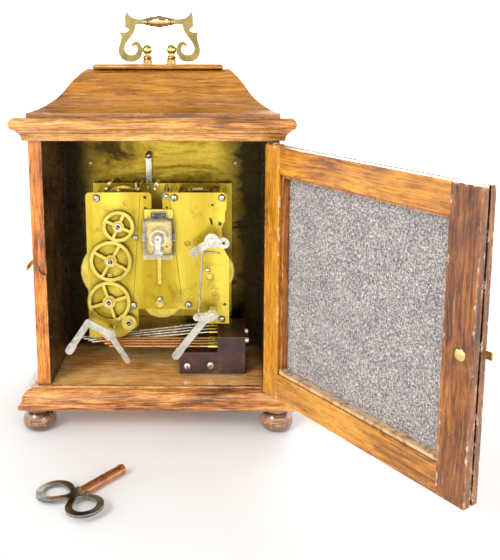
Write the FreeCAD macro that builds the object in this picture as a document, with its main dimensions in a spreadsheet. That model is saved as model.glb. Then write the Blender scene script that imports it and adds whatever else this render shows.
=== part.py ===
import FreeCAD, Part
import math
import os

import Sketcher
from FreeCAD import Placement, Rotation, Vector

# Mantel clock with a glazed front door, a cloth-panelled rear door and a chiming movement.
# Millimetres. +Z is up, the dial faces -Y, and the origin is on the surface that the feet
# stand on, under the middle of the case. The rear door stands open and the key lies beside
# the clock: that is the rest position of every joint.

doc = FreeCAD.newDocument("MantelClock")
sheet = doc.addObject("Spreadsheet::Sheet", "Sizes")
subparts = {}


class Size:
    """A length that carries both its value and the spreadsheet formula behind it."""

    def __init__(self, text, value):
        self.text = text
        self.value = float(value)

    def joined(self, sign, other, value):
        return Size(f"({self.text} {sign} {text_of(other)})", value)

    def __add__(self, other):
        return self.joined("+", other, self.value + float(other))

    def __sub__(self, other):
        return self.joined("-", other, self.value - float(other))

    def __mul__(self, other):
        return self.joined("*", other, self.value * float(other))

    def __truediv__(self, other):
        return self.joined("/", other, self.value / float(other))

    def __radd__(self, other):
        return self + other

    def __rmul__(self, other):
        return self * other

    def __rsub__(self, other):
        return Size(f"({other} - {self.text})", float(other) - self.value)

    def __neg__(self):
        return Size(f"(0 - {self.text})", -self.value)

    def __float__(self):
        return self.value


def text_of(length):
    return length.text if isinstance(length, Size) else str(length)


def dimension(alias, value):
    """Writes one driving dimension into the sheet and returns it."""
    dimension.row += 1
    sheet.set(f"A{dimension.row}", alias)
    sheet.set(f"B{dimension.row}", str(value))
    sheet.setAlias(f"B{dimension.row}", alias)
    return Size(f"Sizes.{alias}", value)


dimension.row = 0

# Case
case_width = dimension("case_width", 200)
case_depth = dimension("case_depth", 130)
side_thick = dimension("side_thick", 10.5)
base_low = dimension("base_low", 19.5)
floor_top = dimension("floor_top", 37.6)
floor_thick = dimension("floor_thick", 6)
wall_top = dimension("wall_top", 244)
base_reach = dimension("base_reach", 14.3)
ledge_reach = dimension("ledge_reach", 4)
cove_high = dimension("cove_high", 9)
slab_thick = dimension("slab_thick", 9.7)
slab_reach = dimension("slab_reach", 12.8)
bell_half_width = dimension("bell_half_width", 99.6)
bell_half_depth = dimension("bell_half_depth", 68.8)
bell_lip = dimension("bell_lip", 3.3)
bell_high = dimension("bell_high", 34.7)
bell_rise = dimension("bell_rise", 38.6)
depth_share = dimension("depth_share", 1.29)
cap_half_width = dimension("cap_half_width", 54.5)
cap_half_depth = dimension("cap_half_depth", 21)
cap_thick = dimension("cap_thick", 4.1)
foot_radius = dimension("foot_radius", 13.8)
foot_inset = dimension("foot_inset", 14.5)
fit_gap = dimension("fit_gap", 0.1)

# Doors
door_thick = dimension("door_thick", 13)
door_gap = dimension("door_gap", 0.4)
door_low = dimension("door_low", 39)
door_high = dimension("door_high", 243)
inner_layer = dimension("inner_layer", 6)
outer_layer = dimension("outer_layer", 5)
hinge_stile = dimension("hinge_stile", 19)
latch_stile = dimension("latch_stile", 22)
rail_wide = dimension("rail_wide", 21)
bead_wide = dimension("bead_wide", 2.4)
pivot_inset = dimension("pivot_inset", 3.5)
pivot_radius = dimension("pivot_radius", 1.2)
running_gap = dimension("running_gap", 0.05)
rear_door_open = dimension("rear_door_open", 126)
latch_inset = dimension("latch_inset", 9.5)
latch_level = dimension("latch_level", 138)
front_stile = dimension("front_stile", 22)
glass_thick = dimension("glass_thick", 2)

# Carrying handle
post_spread = dimension("post_spread", 10.2)
ball_radius = dimension("ball_radius", 4.3)
post_radius = dimension("post_radius", 4.1)
handle_axis = dimension("handle_axis", 313)
handle_thick = dimension("handle_thick", 4.4)
grip_level = dimension("grip_level", 23.6)
grip_radius = dimension("grip_radius", 5.3)

# Dial
dial_rear = dimension("dial_rear", -18.4)
dial_thick = dimension("dial_thick", 1.6)
dial_half_width = dimension("dial_half_width", 88.5)
mask_thick = dimension("mask_thick", 24)
mask_half_open = dimension("mask_half_open", 70)
mask_sill = dimension("mask_sill", 57)
mask_spring = dimension("mask_spring", 156)
hand_level = dimension("hand_level", 127)
ring_outer = dimension("ring_outer", 66)
ring_inner = dimension("ring_inner", 50)
ring_thick = dimension("ring_thick", 1.2)
winding_hole = dimension("winding_hole", 4.5)

# Movement
back_plate_rear = dimension("back_plate_rear", 30)
plate_thick = dimension("plate_thick", 1.8)
plate_spacing = dimension("plate_spacing", 38.2)
plate_top = dimension("plate_top", 194.3)
plate_east = dimension("plate_east", 62)
pillar_radius = dimension("pillar_radius", 3)
screw_radius = dimension("screw_radius", 2.6)
screw_high = dimension("screw_high", 1.4)
arbor_radius = dimension("arbor_radius", 2.2)
barrel_radius = dimension("barrel_radius", 17)
barrel_spread = dimension("barrel_spread", 43)
barrel_level = dimension("barrel_level", 121)
time_level = dimension("time_level", 95)
stud_radius = dimension("stud_radius", 1.5)
gear_module = dimension("gear_module", 0.5)
gear_thick = dimension("gear_thick", 2)
lever_thick = dimension("lever_thick", 2)
lever_plane = dimension("lever_plane", 45)
cover_half = dimension("cover_half", 12)
cover_low = dimension("cover_low", 140)
cover_high = dimension("cover_high", 172)
cover_deep = dimension("cover_deep", 14.5)
cover_wall = dimension("cover_wall", 1.2)
balance_level = dimension("balance_level", 156.6)
balance_radius = dimension("balance_radius", 7.3)

# Gong
block_east = dimension("block_east", -17)
block_step = dimension("block_step", -50)
block_west = dimension("block_west", -73.7)
block_deep = dimension("block_deep", 44)
block_low_top = dimension("block_low_top", 57)
block_high_top = dimension("block_high_top", 71)
rod_radius = dimension("rod_radius", 1.2)
rod_pitch = dimension("rod_pitch", 5)

# Key
key_tube_radius = dimension("key_tube_radius", 3.75)
key_tube_long = dimension("key_tube_long", 40)
key_plate = dimension("key_plate", 2.2)
key_square = dimension("key_square", 3.8)

doc.recompute()

half_width = case_width / 2
half_depth = case_depth / 2
inner_half = half_width - side_thick
front_edge = door_thick - half_depth
back_plate_front = back_plate_rear - plate_thick
front_plate_rear = back_plate_front - plate_spacing
front_plate_front = front_plate_rear - plate_thick
dial_front = dial_rear - dial_thick
lever_rear = lever_plane + lever_thick


# ---------------------------------------------------------------- building blocks

def bind(item, name, length):
    """Sets one property, by formula when the length comes from the sheet."""
    if isinstance(length, Size):
        item.setExpression(name, length.text)
    else:
        item.setExpression(name, str(float(length)))


def place(item, x=0, y=0, z=0):
    for letter, length in zip("xyz", (x, y, z)):
        bind(item, f"Placement.Base.{letter}", length)
    return item


def keep(label, item):
    """Names a sub-part: the label is also the name of its file."""
    item.Label = label
    subparts[label] = item
    return item


def block(x, y, z):
    """A rectangular piece between two places along each axis."""
    item = doc.addObject("Part::Box", "Block")
    for name, span in (("Length", x), ("Width", y), ("Height", z)):
        bind(item, name, span[1] - span[0])
    return place(item, x[0], y[0], z[0])


AXIS_TURN = {
    "x": Rotation(Vector(0, 1, 0), 90),
    "y": Rotation(Vector(1, 0, 0), -90),
    "z": Rotation(),
}


def rod(radius, axis, span, at):
    """A cylinder along an axis; `at` holds its two other coordinates in X, Y, Z order."""
    item = doc.addObject("Part::Cylinder", "Rod")
    bind(item, "Radius", radius)
    bind(item, "Height", span[1] - span[0])
    item.Placement = Placement(Vector(), AXIS_TURN[axis])
    where = list(at)
    where.insert("xyz".index(axis), span[0])
    return place(item, *where)


def ball(radius, x, y, z):
    item = doc.addObject("Part::Sphere", "Ball")
    bind(item, "Radius", radius)
    return place(item, x, y, z)


def together(items):
    """Fuses touching or overlapping pieces into one solid."""
    item = doc.addObject("Part::MultiFuse", "Fusion")
    item.Shapes = list(items)
    return item


def without(base, tools):
    tool = tools[0] if len(tools) == 1 else together(tools)
    item = doc.addObject("Part::Cut", "Cut")
    item.Base = base
    item.Tool = tool
    return item


def shared(first, second):
    item = doc.addObject("Part::MultiCommon", "Common")
    item.Shapes = [first, second]
    return item


def group(items):
    """Identical or matching pieces that stay separate solids."""
    item = doc.addObject("Part::Compound", "Group")
    item.Links = list(items)
    return item


def own_shape(shape):
    item = doc.addObject("Part::Feature", "Piece")
    item.Shape = shape
    return item


def body_plane(body, role):
    return next(f for f in body.Origin.OriginFeatures if f.Role == role)


def pin_down(sketch, geometry, corner, x, y):
    """Fixes one sketch point at its two distances from the origin."""
    for kind, axis, length in (("DistanceX", -2, x), ("DistanceY", -1, y)):
        if float(length) == 0:
            sketch.addConstraint(Sketcher.Constraint("PointOnObject", geometry, corner, axis))
            continue
        rule = Sketcher.Constraint(kind, -1, 1, geometry, corner, float(length))
        number = sketch.addConstraint(rule)
        if isinstance(length, Size):
            sketch.setExpression(f"Constraints[{number}]", length.text)


def arc_between(start, end, bow):
    """The minor arc of radius |bow| from start to end, with its centre on the left if bow > 0."""
    chord = end - start
    middle = (start + end) / 2
    left = Vector(-chord.y, chord.x, 0).normalize()
    reach = math.sqrt(bow * bow - chord.Length ** 2 / 4)
    centre = middle + left * math.copysign(reach, bow)
    first, last = (start, end) if bow > 0 else (end, start)
    angles = [math.atan2(p.y - centre.y, p.x - centre.x) for p in (first, last)]
    circle = Part.Circle(centre, Vector(0, 0, 1), abs(bow))
    return Part.ArcOfCircle(circle, angles[0], angles[1])


def draw(sketch, outline):
    """Draws a closed outline of (x, y) or (x, y, bow) points; bow is the arc to the next."""
    points = [Vector(float(p[0]), float(p[1]), 0) for p in outline]
    edges = []
    for number, point in enumerate(outline):
        start, end = points[number], points[(number + 1) % len(points)]
        bow = point[2] if len(point) > 2 else 0
        if bow:
            geometry = sketch.addGeometry(arc_between(start, end, float(bow)))
            edges.append((geometry, 1, 2) if float(bow) > 0 else (geometry, 2, 1))
        else:
            geometry = sketch.addGeometry(Part.LineSegment(start, end))
            edges.append((geometry, 1, 2))
    for number, point in enumerate(outline):
        before, here = edges[number - 1], edges[number]
        sketch.addConstraint(
            Sketcher.Constraint("Coincident", before[0], before[2], here[0], here[1])
        )
        pin_down(sketch, here[0], here[1], point[0], point[1])
        if len(point) > 2 and point[2]:
            sketch.addConstraint(Sketcher.Constraint("Radius", here[0], abs(float(point[2]))))


def draw_hole(sketch, x, y, radius):
    centre = Vector(float(x), float(y), 0)
    geometry = sketch.addGeometry(Part.Circle(centre, Vector(0, 0, 1), float(radius)))
    pin_down(sketch, geometry, 3, x, y)
    number = sketch.addConstraint(Sketcher.Constraint("Radius", geometry, float(radius)))
    if isinstance(radius, Size):
        sketch.setExpression(f"Constraints[{number}]", radius.text)


def sketch_on(body, role, offset=0):
    sketch = body.newObject("Sketcher::SketchObject", "Sketch")
    sketch.AttachmentSupport = [(body_plane(body, role), "")]
    sketch.MapMode = "FlatFace"
    bind(sketch, "AttachmentOffset.Base.z", offset)
    return sketch


def prism(axis, span, outline, inner=(), holes=()):
    """A flat piece: an outline, any inner outlines and round holes, padded along an axis."""
    role = {"x": "YZ_Plane", "y": "XZ_Plane", "z": "XY_Plane"}[axis]
    body = doc.addObject("PartDesign::Body", "Body")
    offset = -span[1] if axis == "y" else span[0]
    sketch = sketch_on(body, role, offset)
    for line in (outline, *inner):
        draw(sketch, line)
    for x, y, radius in holes:
        draw_hole(sketch, x, y, radius)
    pad = body.newObject("PartDesign::Pad", "Pad")
    pad.Profile = sketch
    bind(pad, "Length", span[1] - span[0])
    return body


def turned(outline):
    """A round piece: an outline of (radius, height) points revolved about the Z axis."""
    body = doc.addObject("PartDesign::Body", "Body")
    sketch = sketch_on(body, "XZ_Plane")
    draw(sketch, outline)
    revolution = body.newObject("PartDesign::Revolution", "Revolution")
    revolution.Profile = sketch
    revolution.ReferenceAxis = (sketch, ["V_Axis"])
    revolution.Angle = 360
    return body


def stand(item, axis, x=0, y=0, z=0):
    """Turns a piece made along Z onto another axis and puts it in place."""
    item.Placement = Placement(Vector(), AXIS_TURN[axis])
    return place(item, x, y, z)


def rectangle(x, y):
    return [(x[0], y[0]), (x[1], y[0]), (x[1], y[1]), (x[0], y[1])]


def section(half, side):
    """Mirrors one side of a section, listed from the bottom up, into a closed outline."""
    right = [(half + reach, level, bow) for reach, level, bow in side]
    bows = [0] + [bow for _, _, bow in side[:-1]]
    left = [(-(half + reach), level, bow) for (reach, level, _), bow in zip(side, bows)]
    return right + left[::-1]


def moulded(side, half_x, half_y, side_y=None):
    """A moulding mitred round a rectangle: the overlap of its two straight runs."""
    reach = 40
    wide, deep = float(half_x) + reach, float(half_y) + reach
    across = prism("y", (-deep, deep), section(half_x, side))
    along = prism("x", (-wide, wide), section(half_y, side_y or side))
    return shared(across, along)


# ---------------------------------------------------------------- case

def make_case():
    wall = (floor_top, wall_top)
    keep("case_side_left", block((-half_width, -inner_half), (front_edge, half_depth), wall))
    # The right side's rear edge is scooped where the rear door's rivet head lies when shut.
    right = block((inner_half, half_width), (front_edge, half_depth), wall)
    scoop = rod(5.2, "y", (half_depth - 2, half_depth + 1), (half_width - latch_inset, latch_level))
    keep("case_side_right", without(right, [scoop]))

    ovolo, thumb = 8, 3.6
    base_side = [
        (base_reach - 4, base_low, 0),
        (base_reach - 2.1, base_low + 0.4, thumb),
        (base_reach - 2.1, base_low + 6.9, 0),
        (base_reach - 2.8, base_low + 7.7, 0),
        (base_reach - 2.8, base_low + 10.5, ovolo),
        (ledge_reach, floor_top - 1, 0),
        (ledge_reach - 0.4, floor_top, 0),
    ]
    board = ((-inner_half, inner_half), (front_edge, half_depth))
    recess = block(*board, (floor_top - floor_thick, floor_top + 1))
    keep("base_moulding", without(moulded(base_side, half_width, half_depth), [recess]))
    keep("floor_board", block(*board, (floor_top - floor_thick, floor_top)))

    feet = []
    for east in (-1, 1):
        for north in (-1, 1):
            bun = turned([
                (0, 0), (foot_radius - 5, 0, 7), (foot_radius, 8, 11.5),
                (foot_radius - 4.5, 16.3), (foot_radius - 4.5, 17.3),
                (foot_radius - 3, 17.3), (foot_radius - 3, base_low), (0, base_low),
            ])
            reach_x = half_width + base_reach - foot_inset
            reach_y = half_depth + base_reach - foot_inset
            feet.append(stand(bun, "z", reach_x * east, reach_y * north, 0))
    keep("bun_feet", group(feet))

    cove_top = wall_top + cove_high
    cove_side = [
        (3.2, wall_top, 0),
        (4, wall_top + 0.8, 0),
        (4, wall_top + 2.2, -6.5),
        (8, cove_top - 1.4, 0),
        (8, cove_top, 0),
    ]
    keep("cove_moulding", moulded(cove_side, half_width, half_depth))

    slab_top = cove_top + slab_thick
    slab_side = [
        (slab_reach - 4, cove_top, 0),
        (slab_reach - 3, cove_top + 0.6, 5),
        (slab_reach - 3, slab_top - 0.6, 0),
        (slab_reach - 4, slab_top, 0),
    ]
    keep("top_slab", moulded(slab_side, half_width, half_depth))

    lip_top = slab_top + bell_lip
    bell_top = slab_top + bell_high

    def bell_side(share, hollow, swell):
        return [
            (0, slab_top, 0),
            (0, lip_top, 0),
            (-1.1, lip_top, -hollow),
            (share * -24, lip_top + 14.5, swell),
            (-(bell_rise * share), bell_top - 0.8, 0),
            (-(bell_rise * share) - 1.2, bell_top, 0),
        ]

    across, along = bell_side(1, 39.6, 65), bell_side(depth_share, 56, 80)
    keep("bell_top", moulded(across, bell_half_width, bell_half_depth, along))

    cap_top = bell_top + cap_thick
    cap_side = [
        (-1.2, bell_top, 0),
        (-0.6, bell_top + 0.5, 2.4),
        (-0.6, cap_top - 0.5, 0),
        (-1.2, cap_top, 0),
    ]
    keep("cap_board", moulded(cap_side, cap_half_width, cap_half_depth))
    return cap_top


# ---------------------------------------------------------------- doors

def frame_pieces(x, z, y, left_wide, right_wide, rail):
    """Two stiles and two rails that meet square; returned as (stiles, rails)."""
    between = (x[0] + left_wide, x[1] - right_wide)
    stiles = [
        block((x[0], between[0]), y, z),
        block((between[1], x[1]), y, z),
    ]
    rails = [
        block(between, y, (z[0], z[0] + rail)),
        block(between, y, (z[1] - rail, z[1])),
    ]
    return stiles, rails


def swing_open(item, pivot_x, pivot_y):
    """Turns a closed rear-door piece about the door's pivot to its open rest position."""
    about = Vector(float(pivot_x), float(pivot_y), 0)
    turn = Placement(Vector(), Rotation(Vector(0, 0, 1), float(rear_door_open)), about)
    holder = group([item])
    holder.Placement = turn
    return holder


def eased_edge(face_y, outward):
    """Cuts the hinge stile's inner corner back, so that it clears the case as the door turns."""
    x, y = -half_width - 0.5, face_y - 0.5 * outward
    corner = [(x, y), (x + 2.8, y), (x, y + 2.8 * outward)]
    return prism("z", (door_low - 1, door_high + 1), corner)


def make_rear_door():
    x = (-half_width, half_width)
    z = (door_low, door_high)
    inner_face = half_depth + door_gap
    outer_face = inner_face + door_thick
    inner_span = (inner_face, inner_face + inner_layer)
    groove_span = (inner_span[1], outer_face - outer_layer)
    outer_span = (groove_span[1], outer_face)
    pivot_x = pivot_inset - half_width
    pivot_y = outer_face - pivot_inset

    def hang(label, item):
        keep(label, swing_open(item, pivot_x, pivot_y))

    # The stiles carry the pivots; a shallow groove runs round the edge between the layers.
    stiles, rails = frame_pieces(x, z, inner_span, hinge_stile, latch_stile, rail_wide)
    groove = 1.6
    bands = frame_pieces(
        (x[0] + groove, x[1] - groove), (z[0] + groove, z[1] - groove), groove_span,
        hinge_stile - groove, latch_stile - groove, rail_wide - groove,
    )
    backs = frame_pieces(x, z, outer_span, hinge_stile, latch_stile, rail_wide)
    bore = pivot_radius + running_gap
    holes = [
        rod(bore, "z", (door_low - 1, door_low + 7), (pivot_x, pivot_y)),
        rod(bore, "z", (door_high - 7, door_high + 1), (pivot_x, pivot_y)),
        eased_edge(inner_face, 1),
    ]
    spindle_x = half_width - latch_inset
    spindle_hole = rod(1.6, "y", (inner_face - 1, outer_face + 1), (spindle_x, latch_level))
    hinge_side = without(together([stiles[0], bands[0][0], backs[0][0]]), holes)
    latch_side = without(together([stiles[1], bands[0][1], backs[0][1]]), [spindle_hole])
    rail_pairs = [together([rails[i], bands[1][i], backs[1][i]]) for i in (0, 1)]
    hang("rear_door_stiles", group([hinge_side, latch_side]))
    hang("rear_door_rails", group(rail_pairs))

    open_x = (x[0] + hinge_stile, x[1] - latch_stile)
    open_z = (z[0] + rail_wide, z[1] - rail_wide)
    cloth_front = inner_face + 8.6
    cloth_rear = cloth_front + 2.4
    bead_y = (inner_face + 2.2, cloth_front - 0.02)
    stops_y = (cloth_rear + 0.02, outer_face - 0.1)
    bead = frame_pieces(open_x, open_z, bead_y, bead_wide, bead_wide, bead_wide)
    stops = frame_pieces(open_x, open_z, stops_y, bead_wide, bead_wide, bead_wide)
    hang("cloth_beads", group(bead[0] + bead[1] + stops[0] + stops[1]))
    hang("cloth_panel", block(open_x, (cloth_front, cloth_rear), open_z))

    # Turn catch: a button on the outer face, on a spindle with a domed head inside.
    button_y = (outer_face + 0.15, outer_face + 1.45)
    button_z = (latch_level - 2.8, latch_level + 2.8)
    arm = block((spindle_x, half_width + 4), button_y, button_z)
    hub = rod(3.8, "y", button_y, (spindle_x, latch_level))
    spindle_bore = rod(1.5, "y", (outer_face, outer_face + 2), (spindle_x, latch_level))
    hang("latch_button", without(together([arm, hub]), [spindle_bore]))
    rivet = turned([
        (0, -1.7), (2.6, -1.3, 4), (4.3, -0.15), (1.5, -0.15),
        (1.5, door_thick + 1.45), (3.4, door_thick + 1.45), (3.4, door_thick + 2.6),
        (2, door_thick + 3.4), (0, door_thick + 3.4),
    ])
    hang("latch_spindle", stand(rivet, "y", spindle_x, inner_face, latch_level))

    # The keeper stands beside the closed door; the raised button turns up into its slot.
    keeper_z = (latch_level + 3.6, latch_level + 8)
    foot = block((half_width, half_width + 1.4), (half_depth - 12, half_depth), keeper_z)
    arm = block((half_width + 0.5, half_width + 1.7), (half_depth - 4, outer_face + 2.6), keeper_z)
    slot = block(
        (half_width, half_width + 2), (outer_face, outer_face + 1.7),
        (keeper_z[0] - 1, keeper_z[1] - 1.6),
    )
    keep("latch_keeper", without(together([foot, arm]), [slot]))
    return pivot_x, pivot_y


def make_front_door():
    outer_face = -half_depth
    inner_face = front_edge - door_gap
    x = (-half_width, half_width)
    z = (door_low, door_high)
    pivot_x = pivot_inset - half_width
    pivot_y = outer_face + pivot_inset
    stiles, rails = frame_pieces(
        x, z, (outer_face, inner_face), front_stile, front_stile, front_stile
    )
    bore = pivot_radius + running_gap
    holes = [
        rod(bore, "z", (door_low - 1, door_low + 7), (pivot_x, pivot_y)),
        rod(bore, "z", (door_high - 7, door_high + 1), (pivot_x, pivot_y)),
        eased_edge(inner_face, -1),
    ]
    knob_x = half_width - 9
    knob_hole = rod(1.5, "y", (outer_face - 1, outer_face + 8), (knob_x, latch_level))
    stiles = [without(stiles[0], holes), without(stiles[1], [knob_hole])]
    keep("front_door_stiles", group(stiles))
    keep("front_door_rails", group(rails))

    open_x = (x[0] + front_stile, x[1] - front_stile)
    open_z = (z[0] + front_stile, z[1] - front_stile)
    glass_y = (outer_face + 6, outer_face + 6 + glass_thick)
    keep("front_glass", block(open_x, glass_y, open_z))
    bead_y = (glass_y[1], glass_y[1] + 3)
    bead = frame_pieces(open_x, open_z, bead_y, bead_wide, bead_wide, bead_wide)
    keep("glass_bead", group(bead[0] + bead[1]))
    knob = turned([
        (0, 0), (1.45, 0), (1.45, 7), (3.6, 7), (3.6, 8), (2, 9.5),
        (2, 11.5, -3), (4.6, 14.5, 4), (1.2, 17.4), (0, 17.4),
    ])
    knob.Placement = Placement(Vector(), Rotation(Vector(1, 0, 0), 90))
    keep("front_door_knob", place(knob, knob_x, outer_face + 7, latch_level))
    return pivot_x, pivot_y


def make_pivots(pivots):
    """Brass plates on the ledge and under the cove, each with a pin that a door turns on."""
    plates = []
    for x, y in pivots:
        outward = 1 if float(y) > 0 else -1
        edge = y + 2.6 * outward
        root = (y - 11 * outward)
        span = (root, edge) if outward > 0 else (edge, root)
        strap_x = (x - 2.6, x + 2.6)
        low = block(strap_x, span, (floor_top, floor_top + 1))
        low_pin = rod(pivot_radius, "z", (floor_top + 0.5, door_low + 5), (x, y))
        high = block(strap_x, span, (wall_top - 0.8, wall_top))
        high_pin = rod(pivot_radius, "z", (door_high - 5, wall_top - 0.4), (x, y))
        plates += [together([low, low_pin]), together([high, high_pin])]
    keep("door_pivots", group(plates))


def recess_for_pivots(label):
    """Lets the pivot plates into a side panel's ends."""
    side = subparts.pop(label)
    side.Label = label + "_blank"
    deep, wide = 7.5, 5.4
    tools = []
    for y in (half_depth - deep, front_edge - 1):
        for z in (floor_top - 1, wall_top - 0.9):
            tools.append(block(
                (-half_width - 1, wide + 1.2 - half_width), (y, y + deep + 1), (z, z + 2.1)
            ))
    keep(label, without(side, tools))


# ---------------------------------------------------------------- carrying handle

def smooth(points):
    curve = Part.BSplineCurve()
    curve.interpolate([Vector(x, 0, z) for x, z in points])
    return curve.toShape()


def make_handle(seat):
    level = float(handle_axis)
    thick = float(handle_thick)
    half_grip = 13.0
    # One scroll of the bail, as |x| and height above the pivots: each row is one smooth
    # stretch, and the rows meet at the points of the leaves.
    stretches = [
        [(half_grip, 26), (20.4, 26.2), (24.3, 28), (26.7, 32.5)],
        [(26.7, 32.5), (28.7, 29), (28.9, 24.5), (29.3, 19)],
        [(29.3, 19), (25.8, 16.8), (29.4, 14.4)],
        [(29.4, 14.4), (33.9, 15)],
        [(33.9, 15), (32.6, 12.2)],
        [(32.6, 12.2), (32.7, 8.5), (34.1, 3.6), (34.9, -1.5), (31.6, -8), (24.9, -10.3),
         (18.2, -8.6), (14.9, -3.4), (15.2, 3), (18.4, 6.8), (22.2, 6.2), (23.8, 3.4)],
        [(23.8, 3.4), (22.3, 2.7), (20.6, 3.6), (18.9, 1.9), (19.3, -2.2), (22.6, -4.3),
         (26.4, -4.1), (29.4, -1.3), (29.2, 3.6), (25.6, 9.4), (21.8, 14.6), (20, 21)],
        [(20, 21), (half_grip, 21)],
        [(half_grip, 21), (half_grip, 26)],
    ]
    scrolls = []
    for east in (-1, 1):
        edges = []
        for row in stretches:
            points = [(east * x, level + z) for x, z in row]
            if len(points) == 2:
                ends = [Vector(x, 0, z) for x, z in points]
                edges.append(Part.makeLine(*ends))
            else:
                edges.append(smooth(points))
        wire = Part.Wire(Part.__sortEdges__(edges))
        plate = Part.Face(wire).extrude(Vector(0, thick, 0))
        plate.translate(Vector(0, -thick / 2, 0))
        ball_side = float(post_spread) + 1.4
        pin = Part.makeCylinder(
            1.3, 16.2 - ball_side, Vector(east * ball_side, 0, level), Vector(east, 0, 0)
        )
        scrolls.append(plate.fuse(pin).removeSplitter())
    keep("handle_scrolls", own_shape(Part.makeCompound(scrolls)))

    grip_centre = handle_axis + grip_level
    half = [
        (2.6, 13), (2.6, 11.6), (3.6, 11.3), (3.6, 10.4), (2.7, 10), (3.5, 9.4),
        (3.5, 8.2), (4.4, 7.4), (3.9, 5.6), (4.3, 4.4), (4.6, 2.6), (grip_radius, 0),
    ]
    lower = [(radius, -height) for radius, height in half]
    upper = [(radius, height) for radius, height in half[-2::-1]]
    knop = turned([(0, -13)] + lower + upper + [(0, 13)])
    keep("handle_grip", stand(knop, "x", 0, 0, grip_centre))

    posts = []
    for east in (-1, 1):
        shaft = turned([
            (0, seat), (post_radius, seat), (post_radius + 0.2, seat + 2.6, 3),
            (post_radius - 0.5, seat + 3.3), (post_radius, seat + 4.6, 3.4),
            (2.2, seat + 6.8), (2.2, handle_axis - 2.5), (0, handle_axis - 2.5),
        ])
        stand(shaft, "z", post_spread * east, 0, 0)
        knob = ball(ball_radius, post_spread * east, 0, handle_axis)
        reach = post_spread * east
        outer = reach + 5 * east
        inner = reach + 1.2 * east
        span = (inner, outer) if east > 0 else (outer, inner)
        bore = rod(1.3 + running_gap, "x", span, (0, handle_axis))
        posts.append(without(together([shaft, knob]), [bore]))
    keep("handle_posts", group(posts))


# ---------------------------------------------------------------- dial

def make_dial():
    board_x = (fit_gap - inner_half, inner_half - fit_gap)
    arch = [
        (-mask_half_open, mask_sill),
        (mask_half_open, mask_sill),
        (mask_half_open, mask_spring, mask_half_open * 1.0005),
        (-mask_half_open, mask_spring),
    ]
    keep("mask_board", prism(
        "y", (dial_front - mask_thick, dial_front),
        rectangle(board_x, (floor_top, wall_top)), inner=[arch],
    ))
    winding = [
        (barrel_spread, barrel_level, winding_hole),
        (-barrel_spread, barrel_level, winding_hole),
        (0, time_level, winding_hole),
    ]
    keep("dial_plate", prism(
        "y", (dial_front, dial_rear),
        rectangle((-dial_half_width, dial_half_width), (floor_top + 1.5, wall_top - 1.5)),
        holes=[(0, hand_level, 5)] + winding,
    ))
    ring_face = dial_front - ring_thick
    ring = without(
        rod(ring_outer, "y", (ring_face, dial_front), (0, hand_level)),
        [rod(ring_inner, "y", (ring_face - 1, dial_front + 1), (0, hand_level))],
    )
    keep("chapter_ring", ring)

    # Cast pieces in the two lower corners, and a raised disc in the arch.
    corner = mask_half_open - 3
    low = mask_sill + 3
    near = 32
    pieces = []
    for east in (-1, 1):
        outline = [
            (corner * east, low),
            ((corner - near) * east, low, -90 * east),
            (corner * east, low + near),
        ]
        pieces.append(prism("y", (dial_front - 1, dial_front), outline))
    arch_disc = turned([(0, 0), (14, 0), (14, 1.4), (11.5, 1.8), (10.5, 1), (0, 1)])
    arch_disc.Placement = Placement(Vector(), Rotation(Vector(1, 0, 0), 90))
    pieces.append(place(arch_disc, 0, dial_front, mask_spring + 52.6))
    keep("dial_ornaments", group(pieces))

    screws = []
    for x, z, radius in ((-66, 211, 2.9), (66, 211, 2.9), (2.4, 211, 1.5)):
        rear = dial_rear + screw_high
        screws.append(rod(radius, "y", (dial_rear, rear), (x, z)))
    keep("dial_screws", group(screws))


def hand_outline(long, wide, waist):
    """A slender hand with a spade near its tip, drawn upwards from its centre."""
    spade = long * 0.62
    side = [
        (waist, 0, 0), (waist * 0.6, spade - wide, 0), (wide, spade, 0),
        (waist * 0.5, spade + wide * 1.6, 0), (0.3, long, 0),
    ]
    return side + [(-x, z, 0) for x, z, _ in side[::-1]]


def make_hands():
    hour_face = dial_front - 4.6
    minute_face = hour_face - 2.6
    bore = 1.3

    def hand(face, thick, long, wide, waist, hub):
        outline = [(x, z + hand_level, bow) for x, z, bow in hand_outline(long, wide, waist)]
        return [
            prism("y", (face, face + thick), outline),
            rod(hub, "y", (face, face + thick), (0, hand_level)),
        ]

    hour = hand(hour_face, 1.2, 38, 6, 2.2, 5)
    pipe = rod(2.6, "y", (hour_face, front_plate_front - 0.4), (0, hand_level))
    through = rod(bore, "y", (hour_face - 1, front_plate_front), (0, hand_level))
    keep("hour_hand", without(together(hour + [pipe]), [through]))

    minute = hand(minute_face, 1, 58, 3.4, 1.7, 3.6)
    keep("minute_hand", together(minute))
    arbor_front = minute_face + 1
    arbor = rod(1.2, "y", (arbor_front, back_plate_rear - 0.3), (0, hand_level))
    wheel = wheel_shape(48, 0.5, 1.4, 3, 1.2)
    wheel_at = own_shape(wheel)
    wheel_at.Placement = Placement(Vector(0, 4, float(hand_level)), AXIS_TURN["y"])
    collar = rod(2.4, "y", (front_plate_rear + 0.3, 4.2), (0, hand_level))
    keep("centre_wheel", together([wheel_at, arbor, collar]))


# ---------------------------------------------------------------- wheels

def toothed_disc(teeth, module, thick, phase=0.0):
    """A disc with straight-sided teeth along Z; phase is the angle of one tooth's middle."""
    pitch_radius = teeth * module / 2
    root, tip = pitch_radius - 1.1 * module, pitch_radius + 0.8 * module
    step = 2 * math.pi / teeth
    corners = []
    for number in range(teeth):
        middle = phase + number * step
        for radius, share in ((root, -0.30), (tip, -0.11), (tip, 0.11), (root, 0.30)):
            angle = middle + share * step
            corners.append(Vector(radius * math.cos(angle), radius * math.sin(angle), 0))
    wire = Part.makePolygon(corners + corners[:1])
    return Part.Face(wire).extrude(Vector(0, 0, thick))


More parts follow.
